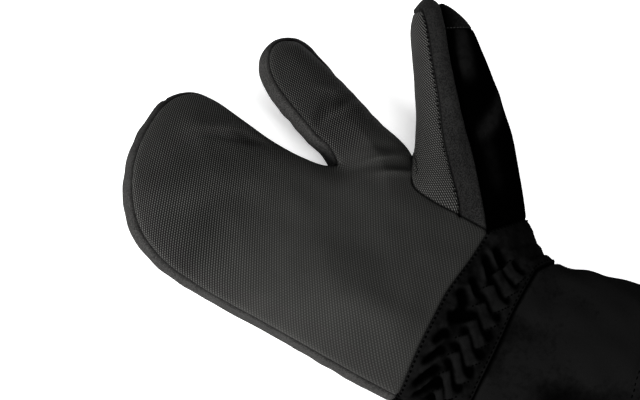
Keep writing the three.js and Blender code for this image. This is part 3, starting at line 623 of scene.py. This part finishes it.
def joined(name, *parts):
    """Several patches as one."""
    points, faces, cloth, count = [], [], [], 0
    for part in parts:
        piece = patches.pop(part)
        points.append(piece["points"])
        cloth.append(piece["cloth"])
        faces += [[i + count for i in f] for f in piece["faces"]]
        count += len(piece["points"])
    patches[name] = {"points": np.vstack(points), "faces": faces, "cloth": np.vstack(cloth)}


joined("thumb_side_wall", "near band", "far band", "band tip")

# Wrist and gauntlet
wrist_ring = np.vstack([on_palm(wrist_line)[:-1], side_columns[0][:-1], on_back(back_wrist_line)[:-1],
                        thumb_wrist_line[::-1]])
wrist_ring[-1] = wrist_ring[0]


def cuff_section(angle, centre, half_width, height):
    power = 2 / CUFF_SQUARENESS
    c, s = np.cos(angle), np.sin(angle)
    return (centre + half_width * np.sign(c) * np.abs(c) ** power,
            height / 2 + height / 2 * np.sign(s) * np.abs(s) ** power)


ring_angle = np.arctan2((wrist_ring[:, 2] - WRIST_HEIGHT / 2) / (WRIST_HEIGHT / 2),
                        (wrist_ring[:, 0] - WRIST_CENTRE_X) / WRIST_HALF_WIDTH)
on_palm_side = ease((np.sin(ring_angle) + 0.2) / 0.8)
ring_run = run_along(wrist_ring)


def wrist_row(past):
    follow, around, out = (between(WRIST_ROWS, past, k) for k in (1, 2, 3))
    x, z = cuff_section(ring_angle, WRIST_CENTRE_X, WRIST_HALF_WIDTH, WRIST_HEIGHT)
    x, z = mix(wrist_ring[:, 0], x, around), mix(wrist_ring[:, 2], z, around)
    lift = GATHER_DEPTH * out * mix(0.5, 1, on_palm_side)
    y = -HEEL_LENGTH - past * WRIST_LENGTH + (wrist_ring[:, 1] + HEEL_LENGTH) * follow
    return np.stack([x + lift * np.cos(ring_angle), y, np.maximum(0, z + lift * np.sin(ring_angle))], 1)


wrist_shares = edged(64, 0.6)
wrist_grid = np.array([wrist_ring if s == 0 else wrist_row(s) for s in wrist_shares])
gauntlet_end = -HEEL_LENGTH - WRIST_LENGTH - GAUNTLET_LENGTH


def gauntlet_row(along):
    start = wrist_grid[-1]
    flare = ease(along) * 0.6 + along * 0.4
    x, z = cuff_section(ring_angle, mix(WRIST_CENTRE_X, GAUNTLET_CENTRE_X, flare),
                        mix(WRIST_HALF_WIDTH, GAUNTLET_HALF_WIDTH, flare),
                        mix(WRIST_HEIGHT, GAUNTLET_HEIGHT, flare))
    own = ease(along / 0.3)
    return np.stack([mix(start[:, 0], x, own), mix(start[:, 1], gauntlet_end, along),
                     mix(start[:, 2], z, own)], 1)


gauntlet_shares = edged(64, 0.5)
gauntlet_grid = np.array([gauntlet_row(s) for s in gauntlet_shares])
gauntlet_grid[0] = wrist_grid[-1]
grid_patch("wrist_gather", wrist_grid)
grid_patch("gauntlet", gauntlet_grid)

# One skin: places that patches share have one number and one normal
names = list(patches)
starts = np.cumsum([0] + [len(patches[n]["points"]) for n in names])
every = np.vstack([patches[n]["points"] for n in names])
_, first, shared = np.unique(np.round(every * 500).astype(np.int64), axis=0,
                             return_index=True, return_inverse=True)
shared = shared.ravel()
skin = every[first]

for name, start in zip(names, starts):
    patch = patches[name]
    kept, numbers = [], []
    for face in patch["faces"]:
        found, corners = [], []
        for i in face:
            number = int(shared[start + i])
            if number not in found:
                found.append(number)
                corners.append(i)
        if len(found) > 2:
            kept.append(corners)
            numbers.append(found)
    patch["faces"], patch["numbers"] = kept, numbers


def skin_normals(points):
    total = np.zeros_like(points)
    for name in names:
        for size in (3, 4):
            faces = [f for f in patches[name]["numbers"] if len(f) == size]
            faces = np.array(faces, int).reshape(-1, size)
            corners = [points[faces[:, k]] for k in range(size)]
            area = np.cross(corners[-2] - corners[0], corners[-1] - corners[-3])
            for k in range(size):
                np.add.at(total, faces[:, k], area)
    return total / np.maximum(np.linalg.norm(total, axis=1), 1e-9)[:, None]


def dense(line, step=0.25):
    run = run_along(line)
    at = np.linspace(0, run[-1], max(2, int(run[-1] / step) + 1))
    return np.stack([np.interp(at, run, line[:, k]) for k in range(3)], 1)


def tree_of(points):
    tree = kdtree.KDTree(len(points))
    for i, p in enumerate(points):
        tree.insert(p, i)
    tree.balance()
    return tree


def reach_of(lines, points):
    tree = tree_of(np.vstack([dense(np.asarray(line, float)) for line in lines]))
    return np.array([tree.find(p)[2] for p in points])


def grid_numbers(name):
    """The skin's numbers for a grid patch's points, and how many rows and columns it has."""
    begin = starts[names.index(name)]
    rows, columns = patches[name]["grid"]
    return shared[begin:begin + rows * columns], rows, columns


pad_seams = [on_palm(pad_line), on_palm(near_line)]
turned_seams = [
    side_top, side_bottom, on_back(back_thumb_line), thumb_grid[:pad_row + 1, 0],
    thumb_grid[:pad_row + 1, NEAR], thumb_grid[:, BACK], thumb_grid[:, FAR],
]
flat_seams = pad_seams + [
    on_palm(wrist_line), on_back(back_wrist_line), thumb_wrist_line, side_columns[0],
    side_columns[tip_mark], thumb_grid[cap_row, BACK:FAR + 1], thumb_grid[pad_row, :NEAR + 1],
]
turned_reach = reach_of(turned_seams, skin)
flat_reach = reach_of(flat_seams, skin)
# On the thumb's pad the way to a seam is along the cloth, not through the air
pad_cloth = patches["thumb_pad"]["cloth"]
own_reach = np.minimum(pad_cloth[:, 0], pad_cloth[:, 1].max() - np.abs(pad_cloth[:, 1]))
pad_no, _, _ = grid_numbers("thumb_pad")
turned_reach[pad_no] = np.maximum(turned_reach[pad_no], 0.8 * own_reach)
seam_reach = np.minimum(turned_reach, flat_reach)
cuff_reach = reach_of([wrist_grid[-1]], skin)


def waves(points, length, seed, count=14):
    """A smooth, random unevenness of about 1 at most, with that wave length."""
    rng = np.random.default_rng(seed)
    total = np.zeros(len(points))
    for _ in range(count):
        way = rng.normal(size=3)
        way *= 2 * np.pi / (length * rng.uniform(0.7, 1.5)) / np.linalg.norm(way)
        total += np.sin(points @ way + rng.uniform(0, 2 * np.pi))
    return total / math.sqrt(count)


def segment(points, x0, y0, x1, y1):
    """Share along a line in the plan, and distance across it."""
    dx, dy = x1 - x0, y1 - y0
    length = math.hypot(dx, dy)
    rx, ry = points[:, 0] - x0, points[:, 1] - y0
    return (rx * dx + ry * dy) / length ** 2, (ry * dx - rx * dy) / length


def numbers_of(name):
    return np.unique(np.concatenate([np.array(f) for f in patches[name]["numbers"]]))


lift = -SEAM_DEPTH * bell(turned_reach, SEAM_WIDTH)
lift -= FLAT_SEAM_DEPTH * bell(flat_reach, SEAM_WIDTH)
puff = (turned_reach / 2.4) ** 2
lift += SEAM_PUFF * puff * np.exp(1 - puff)
lift -= CUFF_SEAM_DEPTH * bell(cuff_reach, CUFF_SEAM_WIDTH)
away = ease((seam_reach - 0.5) / 3)
base_normals = skin_normals(skin)

# Wrist: puckers, ribs and the plain gathers of the sides and the back
wrist = numbers_of("wrist_gather")
p = skin[wrist]
face_up = ease((base_normals[wrist, 2] - 0.1) / 0.5)
height = np.zeros(len(p))
for x0, y0, x1, y1, wide, high in WRIST_FOLDS:
    t, v = segment(p, x0, y0, x1, y1)
    ends = ease((t + 0.15) / 0.4) * ease((1.15 - t) / 0.4)
    height += high * ends * bell(v, wide)
ribs = np.zeros(len(p))
between_ribs = np.zeros(len(p))
for x0, y0, x1, y1, wide in WRIST_RIBS:
    t, v = segment(p, x0, y0, x1, y1)
    ends = ease((t + 0.05) / 0.12) * ease((1.05 - t) / 0.12)
    ribs = np.maximum(ribs, ends * bell(v, wide, 4))
    lens = ease((t + 0.02) / 0.3) * ease((1.02 - t) / 0.3)
    between_ribs = np.maximum(between_ribs, lens * bell(v, wide + 3, 4))
height = height * (1 - ribs) + RIB_RISE * ribs - RIB_DIP * between_ribs * (1 - ribs)
ring_no = np.zeros(len(skin))
past_no = np.zeros(len(skin))
wrist_no, row_count, column_count = grid_numbers("wrist_gather")
ring_no[wrist_no] = np.tile(ring_run, row_count)
past_no[wrist_no] = np.repeat(wrist_shares, column_count)
phase = 2 * np.pi * ring_no[wrist] / GATHER_PITCH + 1.3 * waves(p, 40, 5)
past = past_no[wrist]
elastic = sum(bell(past - row, 0.05) for row in ELASTIC_ROWS)
gathers = (1.1 * np.cos(phase) * ease(past / 0.2) * ease((1 - past) / 0.2) * (1 - 0.7 * elastic)
           - 0.7 * elastic)
height = mix(gathers, height, face_up) + 0.35 * waves(p, 14, 6) + 0.16 * waves(p, 4.5, 16)
lift[wrist] += height * away[wrist] * ease(cuff_reach[wrist] / 3)
# Painted light on the shell cloth: from 0, painted shade in the folds, to 1, a painted highlight on the
# ridges
painted_light = np.full(len(skin), 0.5)
painted_light[wrist] = ease((height + 1.5) / 2.6)

# Gauntlet: soft waves in the cloth and a turned hem
cuff = numbers_of("gauntlet")
p = skin[cuff]
soft = 1.5 * waves(p * [1, 0.45, 1], 34, 11) + 0.6 * waves(p, 17, 12)
lift[cuff] += soft * ease(cuff_reach[cuff] / 14) * ease((p[:, 1] - gauntlet_end) / 30 + 0.35)
from_end = p[:, 1] - gauntlet_end
past_hem = from_end - HEM_LENGTH
lift[cuff] += HEM_RISE * ease(-past_hem / 1.6) - HEM_GROOVE * bell(past_hem - 0.4, 0.8)
# Painted light on the gauntlet: paler on the crests of its soft waves, darker in their hollows
painted_light[cuff] = 1.35 * ease(0.72 + 0.15 * soft)

# Back of the thumb: tucked in beside the band, then slack folds
mine, row_count, column_count = grid_numbers("thumb_back")
near_band = reach_of([thumb_grid[:cap_row + 1, BACK]], skin[mine])
along = np.repeat(thumb_shares[:row_count], column_count)
across = np.tile(BACK_SHARES, row_count)
inside_edges = (ease(across / 0.05) * ease((1 - across) / 0.1) * ease(along / 0.06)
                * ease((CAP_SHARE - along) / 0.03))
high = np.zeros(len(mine))
for s0, c0, s1, c1, wide, tall in THUMB_FOLDS:
    ds, dc = (s1 - s0) * THUMB_LENGTH, (c1 - c0) * THUMB_GIRTH
    long = math.hypot(ds, dc)
    rs, rc = (along - s0) * THUMB_LENGTH, (across - c0) * THUMB_GIRTH
    t, v = (rs * ds + rc * dc) / long ** 2, (rc * ds - rs * dc) / long
    high += tall * ease((t + 0.25) / 0.5) * ease((1.25 - t) / 0.5) * bell(v, wide)
tuck = bell(near_band - 2.0, TUCK_WIDTH) * ease(along / 0.12)
lift[mine] += 0.25 * high * inside_edges - TUCK_DEPTH * tuck
# Painted highlights on the folds and painted shadow in the tuck beside the band
painted_light[mine] = ease(0.04 + 0.55 * high - 0.8 * tuck)

# Palm, back and thumb: the padding's unevenness
for name, size, high, seed in (("palm_panel", 22, 0.28, 1), ("back_panel", 26, 0.5, 2),
                               ("thumb_pad", 18, 0.25, 3), ("thumb_back", 24, 0.15, 4),
                               ("outer_side_wall", 12, 0.22, 7), ("index_side_wall", 10, 0.22, 8),
                               ("thumb_side_wall", 12, 0.25, 9)):
    mine = numbers_of(name)
    lift[mine] += high * waves(skin[mine], size, seed) * away[mine]

# Painted shade in the seams' grooves, faded out near the thumb's crotch, and along the cuff seam and the
# seams round the thumb's pad
seam_shade = (1 - 0.95 * bell(turned_reach, 0.9)) * (1 - 0.4 * bell(flat_reach, 0.6))
from_thumb_crotch = np.linalg.norm(skin - on_palm(thumb_crotch[None]), axis=1)
seam_shade = mix(seam_shade, 1, bell(from_thumb_crotch, 13, 4))
seam_shade *= 1 - 0.95 * bell(cuff_reach, 0.9)
seam_shade *= 1 - 0.9 * bell(reach_of(pad_seams, skin), 0.55)
# Painted highlights on the wrist cloth beside its seams and beside the cuff seam
painted_light[wrist] += 0.5 * bell(flat_reach[wrist] - 0.8, 0.6)
painted_light[wrist] += 0.4 * bell(cuff_reach[wrist] - 1.8, 0.7)
# Painted shade on the bands: darker where they face up the camera's view, and near the crotch between
# mitt and index
side_reach, _ = nearest_on(side, skin[:, :2])
side_tree = tree_of(side)
nearest_side = np.array([side_tree.find((x, y, 0))[1] for x, y in skin[:, :2]])
dark_side = ease(side_out[nearest_side] @ DARK_WAY * 1.2 - 0.1)
from_crotch = np.hypot(skin[:, 0] - side[crotch_mark, 0], skin[:, 1] - side[crotch_mark, 1])
band_shade = (1 - 0.93 * dark_side) * (1 - 0.8 * bell(from_crotch, 9))
# Painted shade on the thumb's cap: darkest beside the band, lighter away from it
cap = numbers_of("thumb_tip_patch")
band_shade[cap] = 0.02 + 0.75 * ease((reach_of([thumb_grid[cap_row:, BACK]], skin[cap]) - 1) / 15)
# Painted light on the palm: painted highlights on the crests of its folds and painted shade in their
# hollows, painted shade along the edges that face the same way, and a painted highlight just inside the
# edges that face the lit way
on_index = index_share(skin[:, 0], skin[:, 1])
folds = fold_height(skin[:, 0], skin[:, 1]) * ease(side_reach / 4)
light_side = ease(side_out[nearest_side] @ LIGHT_WAY * 1.2)
palm_shade = ((1 + 0.22 * np.clip(folds, 0, 2.5) + 0.13 * np.clip(folds, -2.5, 0))
              * (1 - 0.97 * dark_side * bell(turned_reach, 3.2))
              * (1 + 0.55 * light_side * bell(turned_reach - 2.2, 1.9)))
# Painted shade on the index and towards the thumb, and darker towards the heel
near_thumb = ease((skin[:, 0] - 10) / 45) * ease((30 - skin[:, 1]) / 45)
palm_shade *= ((1 - 0.26 * on_index) * (1 - 0.26 * ease(-(skin[:, 1] + 10) / 40))
               * (1 - 0.2 * near_thumb))
# The beads stand out clearly on the fingers and are worn flat towards the heel
crisp = mix(mix(0.5, 1.4, ease((skin[:, 1] - 5) / 75)), 2.0, on_index)
crisp[pad_no] = 1.5
shaped = skin + base_normals * lift[:, None]
shaped[:, 2] = np.maximum(shaped[:, 2], 0)

# Painted light and shade on each piece's cloth, besides the painted shade of the seams
SHADES = {"palm_panel": palm_shade}
SHADES.update(dict.fromkeys(("back_panel", "thumb_back", "wrist_gather", "gauntlet"), painted_light))
SHADES.update(dict.fromkeys(("outer_side_wall", "mitt_inner_wall", "index_side_wall",
                             "thumb_tip_patch"), band_shade))


def mesh_object(name, points, faces, cloth=None, smooth=True):
    """A Blender object from points in millimetres. cloth holds one pair for each face corner."""
    mesh = bpy.data.meshes.new(name)
    mesh.from_pydata((np.asarray(points) * 0.001).tolist(), [], faces)
    if cloth is not None:
        layer = mesh.uv_layers.new(name="cloth")
        layer.data.foreach_set("uv", (np.asarray(cloth) * 0.001).astype(np.float32).ravel())
    mesh.polygons.foreach_set("use_smooth", [smooth] * len(mesh.polygons))
    mesh.update()
    made = bpy.data.objects.new(name, mesh)
    bpy.context.scene.collection.objects.link(made)
    return made


def cloth_piece(name):
    """A patch as a closed piece: its outside, its inside a wall below, and a rim."""
    patch = patches[name]
    mine = numbers_of(name)
    local = {int(g): i for i, g in enumerate(mine)}
    count = len(mine)
    outer = shaped[mine]
    inner = outer - base_normals[mine] * WALLS[name]
    faces, cloth, used = [], [], set()
    for corners, found in zip(patch["faces"], patch["numbers"]):
        face = [local[g] for g in found]
        faces.append(face)
        cloth += [patch["cloth"][i] for i in corners]
        for a, b in zip(face, face[1:] + face[:1]):
            used.add((a, b))
    for corners, found in zip(patch["faces"], patch["numbers"]):
        faces.append([local[g] + count for g in reversed(found)])
        cloth += [patch["cloth"][i] for i in reversed(corners)]
    for a, b in sorted(used):
        if (b, a) not in used:
            faces.append([b, a, a + count, b + count])
            cloth += [(0, 0)] * 4
    made = mesh_object(name + "_cloth", np.vstack([outer, inner]), faces, cloth)
    # Each piece keeps its painted light and shade in this point attribute
    painted_layer = made.data.attributes.new("painted_light", "FLOAT", "POINT")
    value = seam_shade[mine]
    if name in SHADES:
        value = value * SHADES[name][mine]
    painted_layer.data.foreach_set("value", np.tile(value, 2).astype(np.float32))
    if name in ("palm_panel", "thumb_pad"):
        clear = made.data.attributes.new("crisp", "FLOAT", "POINT")
        clear.data.foreach_set("value", np.tile(crisp[mine], 2).astype(np.float32))
    return made


pieces = {name: cloth_piece(name) for name in names}

# Stitches lie on the cloth as short, rounded lengths of thread
ABOVE_ALL = 90
all_faces = [face for name in names for face in patches[name]["numbers"]]
surface = bvhtree.BVHTree.FromPolygons([Vector(p) for p in shaped], all_faces)


def stitch_row(line, pitch, length, slant_deg=0.0, from_above=False):
    """Middles, ways and normals of the stitches of a row along a line."""
    line = dense(np.asarray(line, float))
    total = (len(line) - 1) * np.linalg.norm(np.diff(line, axis=0), axis=1).mean()
    count = max(1, round(total / pitch))
    found = []
    for k in range(count):
        at = (k + 0.5) / count * (len(line) - 1)
        i = min(int(at), len(line) - 2)
        way = Vector(line[i + 1] - line[i]).normalized()
        if from_above:
            above = Vector((line[i][0], line[i][1], ABOVE_ALL))
            spot, normal, _, _ = surface.ray_cast(above, Vector((0, 0, -1)))
            if spot is None:
                continue
        else:
            spot, normal, _, _ = surface.find_nearest(Vector(line[i]))
        if slant_deg:
            way = Matrix.Rotation(math.radians(slant_deg), 3, normal) @ way
        found.append((spot, (way - normal * way.dot(normal)).normalized(), normal, length))
    return found


def stitches(name, rows, thick, look):
    """A mesh of rounded threads, each sunk at both ends."""
    points, faces = [], []
    profile = [(-0.5, 0.0, -0.6), (-0.42, 0.75, -0.2), (-0.2, 1, 0.35), (0.2, 1, 0.35),
               (0.42, 0.75, -0.2), (0.5, 0.0, -0.6)]
    for spot, way, normal, length in rows:
        side_way = normal.cross(way)
        first = len(points)
        for at, size, high in profile:
            middle = spot + way * at * length + normal * high * thick
            ring = 1 if size == 0 else 6
            for k in range(ring):
                turn = 2 * math.pi * k / 6
                points.append(middle + (side_way * math.cos(turn) + normal * math.sin(turn) * 0.8)
                              * thick * size)
        for k in range(6):
            after = (k + 1) % 6
            faces.append([first, first + 1 + after, first + 1 + k])
            for level in range(3):
                low = first + 1 + 6 * level
                faces.append([low + k, low + after, low + 6 + after, low + 6 + k])
            last = first + 19
            faces.append([last + k, last + after, first + 25])
    made = mesh_object(name, [tuple(p) for p in points], faces)
    made.data.materials.append(look)
    return made


# Finishes
def shader(name):
    made = bpy.data.materials.new(name)
    made.use_nodes = True
    return made, made.node_tree


def put(tree, inputs, values):
    """Give sockets their constants, or link them to the outputs of other nodes."""
    for key, value in values.items():
        if isinstance(value, bpy.types.NodeSocket):
            tree.links.new(value, inputs[key])
        else:
            inputs[key].default_value = value


def settle(tree, values):
    put(tree, tree.nodes["Principled BSDF"].inputs, values)


def node(tree, kind, **values):
    made = tree.nodes.new("ShaderNode" + kind)
    put(tree, made.inputs, values)
    return made


def maths(tree, kind, a, b=None, clamp=False):
    made = node(tree, "Math")
    made.operation = kind
    made.use_clamp = clamp
    put(tree, made.inputs, {0: a} if b is None else {0: a, 1: b})
    return made.outputs[0]


def times(tree, a, b):
    return maths(tree, "MULTIPLY", a, b)


def cloth_axes(tree, turn_deg, pitch):
    """The cloth's own two coordinates, turned, in pitches."""
    source = node(tree, "UVMap")
    source.uv_map = "cloth"
    place = node(tree, "Mapping", Vector=source.outputs[0], Rotation=(0, 0, math.radians(turn_deg)),
                 Scale=(1 / pitch, 1 / pitch, 1))
    parts = node(tree, "SeparateXYZ")
    tree.links.new(place.outputs[0], parts.inputs[0])
    return parts.outputs[0], parts.outputs[1]


def noise(tree, scale, detail=2.0, rough=0.5):
    place = node(tree, "TexCoord").outputs["Object"]
    return node(tree, "TexNoise", Vector=place, Scale=scale, Detail=detail, Roughness=rough).outputs[0]


def blend(tree, share, a, b):
    made = node(tree, "Mix")
    made.data_type = "RGBA"
    put(tree, made.inputs, {0: share, 6: (*a, 1), 7: (*b, 1)})
    return made.outputs[2]


def bump(tree, height, distance, strength=1.0, under=None):
    made = node(tree, "Bump", Distance=distance, Strength=strength, Height=height)
    if under is not None:
        tree.links.new(under, made.inputs["Normal"])
    return made.outputs[0]


def measure(tree, name):
    """A measure held in the mesh. The painted light measure is low with painted shade in seams, folds
    and on edges turned from the light, and high with painted highlights on crests that catch the light.
    """
    made = node(tree, "Attribute")
    made.attribute_name = name
    return made.outputs["Fac"]


def scaled(tree, colour, value):
    return node(tree, "HueSaturation", Color=colour, Value=value).outputs[0]


def swing(tree, value, turns, kind="COSINE"):
    return maths(tree, kind, times(tree, value, turns * 2 * math.pi))


def topped(tree, value, share=0.5):
    """A share of the value, raised so that 1 stays 1."""
    return maths(tree, "ADD", times(tree, value, share), 1 - share)


def grip_cloth(name, turn_deg, low, high):
    """Dark cloth with small raised beads in columns, each column half a bead further on."""
    made, tree = shader(name)
    u, v = cloth_axes(tree, turn_deg, 0.001)
    column = topped(tree, swing(tree, u, 1 / GRIP_COLUMN))
    stagger = times(tree, swing(tree, u, 0.5 / GRIP_COLUMN), swing(tree, v, 1 / GRIP_BEAD))
    raised = times(tree, column, topped(tree, stagger, 0.4))
    from_middle = maths(tree, "SUBTRACT", raised, BEAD_MIDDLE)
    clear = times(tree, from_middle, measure(tree, "crisp"))
    raised = maths(tree, "ADD", clear, BEAD_MIDDLE, clamp=True)
    # The colour carries the mesh's painted light and shade, with some random tone
    value = times(tree, topped(tree, noise(tree, 60, 3), 0.3), measure(tree, "painted_light"))
    settle(tree, {
        "Base Color": scaled(tree, blend(tree, raised, low, high), value), "Roughness": 0.75,
        "Specular IOR Level": 0.04, "Normal": bump(tree, raised, 0.0004),
    })
    return made


def suede(name, low, high, gloss=0.03, sheen=0.006):
    """Napped leather: mottled, matt, with a soft sheen."""
    made, tree = shader(name)
    both = maths(tree, "ADD", times(tree, noise(tree, 90), 0.15),
                 times(tree, noise(tree, 1500, 2, 0.6), 0.85))
    ramp = node(tree, "MapRange", Value=both)
    put(tree, ramp.inputs, {"From Min": 0.42, "From Max": 0.58})
    base = blend(tree, ramp.outputs[0], low, high)
    # The colour carries the mesh's painted shade
    settle(tree, {
        "Base Color": scaled(tree, base, measure(tree, "painted_light")), "Roughness": 0.95,
        "Specular IOR Level": gloss, "Sheen Weight": sheen, "Sheen Roughness": 0.5,
        "Normal": bump(tree, both, 0.0005, 0.8),
    })
    return made


def nylon(name, colour, rough):
    """Fine woven shell cloth without specular gloss; its soft gloss is painted highlight, and its
    darkness in folds painted shade, from the mesh's painted light measure.
    """
    made, tree = shader(name)
    u, v = cloth_axes(tree, 8, 0.0006)
    threads = times(tree, swing(tree, u, 1, "SINE"), swing(tree, v, 1, "SINE"))
    # The colour swings from painted shade to painted highlight with the mesh's painted light measure and
    # some random tone
    dark, light = (tuple(c * share for c in colour) for share in (0.08, 2.2))
    uneven = topped(tree, noise(tree, 260, 3, 0.6), 0.9)
    shade = times(tree, measure(tree, "painted_light"), times(tree, uneven, 1.8))
    under = bump(tree, noise(tree, 300), 0.0003, 0.5)
    settle(tree, {
        "Base Color": blend(tree, shade, dark, light),
        "Roughness": maths(tree, "ADD", times(tree, noise(tree, 120, 3), 0.16), rough - 0.08),
        "Specular IOR Level": 0.0, "Normal": bump(tree, threads, 0.00006, 0.5, under),
    })
    return made


def plain(name, colour, rough, gloss, glow=0.0):
    made, tree = shader(name)
    settle(tree, {"Base Color": (*colour, 1), "Roughness": rough, "Specular IOR Level": gloss,
                  "Emission Color": (1, 1, 1, 1), "Emission Strength": glow})
    return made


palm_grip = grip_cloth("palm grip cloth", 0, (0.0015, 0.0015, 0.0015), (0.059, 0.059, 0.0555))
thumb_grip = grip_cloth("thumb grip cloth", -42, (0.002, 0.002, 0.002), (0.082, 0.081, 0.077))
# The thumb's band is the same suede as the side bands, given a darker colour as painted shade
band_suede = suede("band suede", (0.0105, 0.0103, 0.01), (0.029, 0.0285, 0.0275))
shaded_thumb_suede = suede("thumb suede in painted shade", (0.0028, 0.0028, 0.0028), (0.0108, 0.0107, 0.0104))
cap_suede = suede("thumb cap suede", (0.002, 0.002, 0.002), (0.012, 0.012, 0.0117), 0.01, 0.0)
shell = nylon("black nylon", (0.0015, 0.0015, 0.0015), 0.5)
thread = plain("black thread", (0.0004, 0.0004, 0.0004), 0.8, 0)
grey_thread = plain("grey thread", (0.014, 0.014, 0.0137), 0.8, 0)


def ring_row(grid, shares, share):
    """A line round the wrist or gauntlet at a share of its length."""
    i = np.searchsorted(shares, share) - 1
    return mix(grid[i], grid[i + 1], (share - shares[i]) / (shares[i + 1] - shares[i]))


rib_ends = []
for x0, y0, x1, y1, wide in WRIST_RIBS:
    way = np.array([x1 - x0, y1 - y0]) / math.hypot(x1 - x0, y1 - y0)
    across = np.array([-way[1], way[0]]) * (wide + 0.6)
    for x, y in ((x0, y0), (x1, y1)):
        row = [(x - across[0], y - across[1], 0), (x + across[0], y + across[1], 0)]
        rib_ends += stitch_row(row, 1.9, 1.2, from_above=True)
wrist_edge = ring_row(wrist_grid, wrist_shares, 0.028)
cuff_edge = ring_row(wrist_grid, wrist_shares, 0.93)
cap_edge = mix(thumb_grid[cap_row], thumb_grid[cap_row + 1], 0.9)[BACK:FAR + 1]
pad_edge = thumb_grid[4:pad_row - 2, NEAR - 1]
hem_line = ring_row(gauntlet_grid, gauntlet_shares, 1 - HEM_STITCH_AT / GAUNTLET_LENGTH)

# Pieces of stitching: stitches, half thickness and thread
STITCHING = {
    "wrist_seam_stitches": (stitch_row(wrist_edge, 2.9, 1.7), 0.6, thread),
    "cuff_seam_stitches": (stitch_row(cuff_edge, 3.0, 1.7), 0.45, thread),
    "elastic_row_stitches": (rib_ends, 0.45, thread),
    "thumb_cap_stitches": (stitch_row(cap_edge, 2.2, 1.4), 0.3, grey_thread),
    "thumb_pad_stitches": (stitch_row(pad_edge, 2.6, 1.7, 48), 0.3, thread),
    "hem_stitches": (stitch_row(hem_line, 3.4, 2.2), 0.36, thread),
}
for name, (row, thick, look) in STITCHING.items():
    piece = stitches(name, row, thick, look)
    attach(piece, "root")

# Look, material slot and how full each cloth piece is
LOOKS = {
    "palm_panel": (palm_grip, "grip_cloth", 0.7),
    "back_panel": (shell, "black_nylon", 0.6),
    "outer_side_wall": (band_suede, "suede", 0.5),
    "mitt_inner_wall": (band_suede, "suede", 0.5),
    "index_side_wall": (band_suede, "suede", 0.5),
    "thumb_pad": (thumb_grip, "grip_cloth", 0.7),
    "thumb_side_wall": (shaded_thumb_suede, "suede", 0.5),
    "thumb_back": (shell, "black_nylon", 0.6),
    "thumb_tip_patch": (cap_suede, "suede", 0.5),
    "wrist_gather": (shell, "black_nylon", 0.4),
    "gauntlet": (shell, "black_nylon", 0.4),
}
for name, piece in pieces.items():
    finish, slot, fill = LOOKS[name]
    piece.data.materials.append(finish)
    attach(piece, "root")
    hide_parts(name)

# Floor, light and camera
FLOOR_HALF, FLOOR_DROP = 3000, 0.2
corners = [(x * FLOOR_HALF, y * FLOOR_HALF, -FLOOR_DROP)
           for x, y in ((-1, -1), (1, -1), (1, 1), (-1, 1))]
floor = mesh_object("floor", corners, [[0, 1, 2, 3]], smooth=False)
floor.data.materials.append(plain("pale floor", (0.92, 0.92, 0.92), 0.9, 0.5, 0.45))

CAMERA_AT = (-0.238653, 0.098643, 0.810695)
CAMERA_RIGHT = Vector((0.38194, -0.89320, 0.23728))
CAMERA_UP = Vector((0.86576, 0.43564, 0.24632))
CAMERA_BACK = CAMERA_RIGHT.cross(CAMERA_UP)
lens = bpy.data.cameras.new("camera")
lens.lens = 85
lens.sensor_width = 36
lens.clip_start = 0.01
camera = bpy.data.objects.new("camera", lens)
turned = Matrix((CAMERA_RIGHT, CAMERA_UP, CAMERA_BACK)).transposed().to_4x4()
camera.matrix_world = Matrix.Translation(CAMERA_AT) @ turned
bpy.context.scene.collection.objects.link(camera)
bpy.context.scene.camera = camera


def area_light(name, place, aim, size, watts):
    data = bpy.data.lights.new(name, "AREA")
    data.shape = "DISK"
    data.size = size
    data.energy = watts
    made = bpy.data.objects.new(name, data)
    made.location = place
    made.rotation_euler = (Vector(aim) - Vector(place)).to_track_quat("-Z", "Y").to_euler()
    bpy.context.scene.collection.objects.link(made)


area_light("key", (-1.28, 0.74, 1.05), (0.02, 0, 0.02), 0.8, 72)
area_light("top", (-0.2, -0.1, 1.9), (0, 0, 0), 1.6, 24)
area_light("rear", (1.3, -0.5, 0.7), (0.05, -0.05, 0.02), 0.5, 2.5)
world = bpy.data.worlds.new("studio")
world.use_nodes = True
world.node_tree.nodes["Background"].inputs[0].default_value = (1, 1, 1, 1)
world.node_tree.nodes["Background"].inputs[1].default_value = 0.25
bpy.context.scene.world = world
bpy.context.scene.view_settings.view_transform = "Standard"
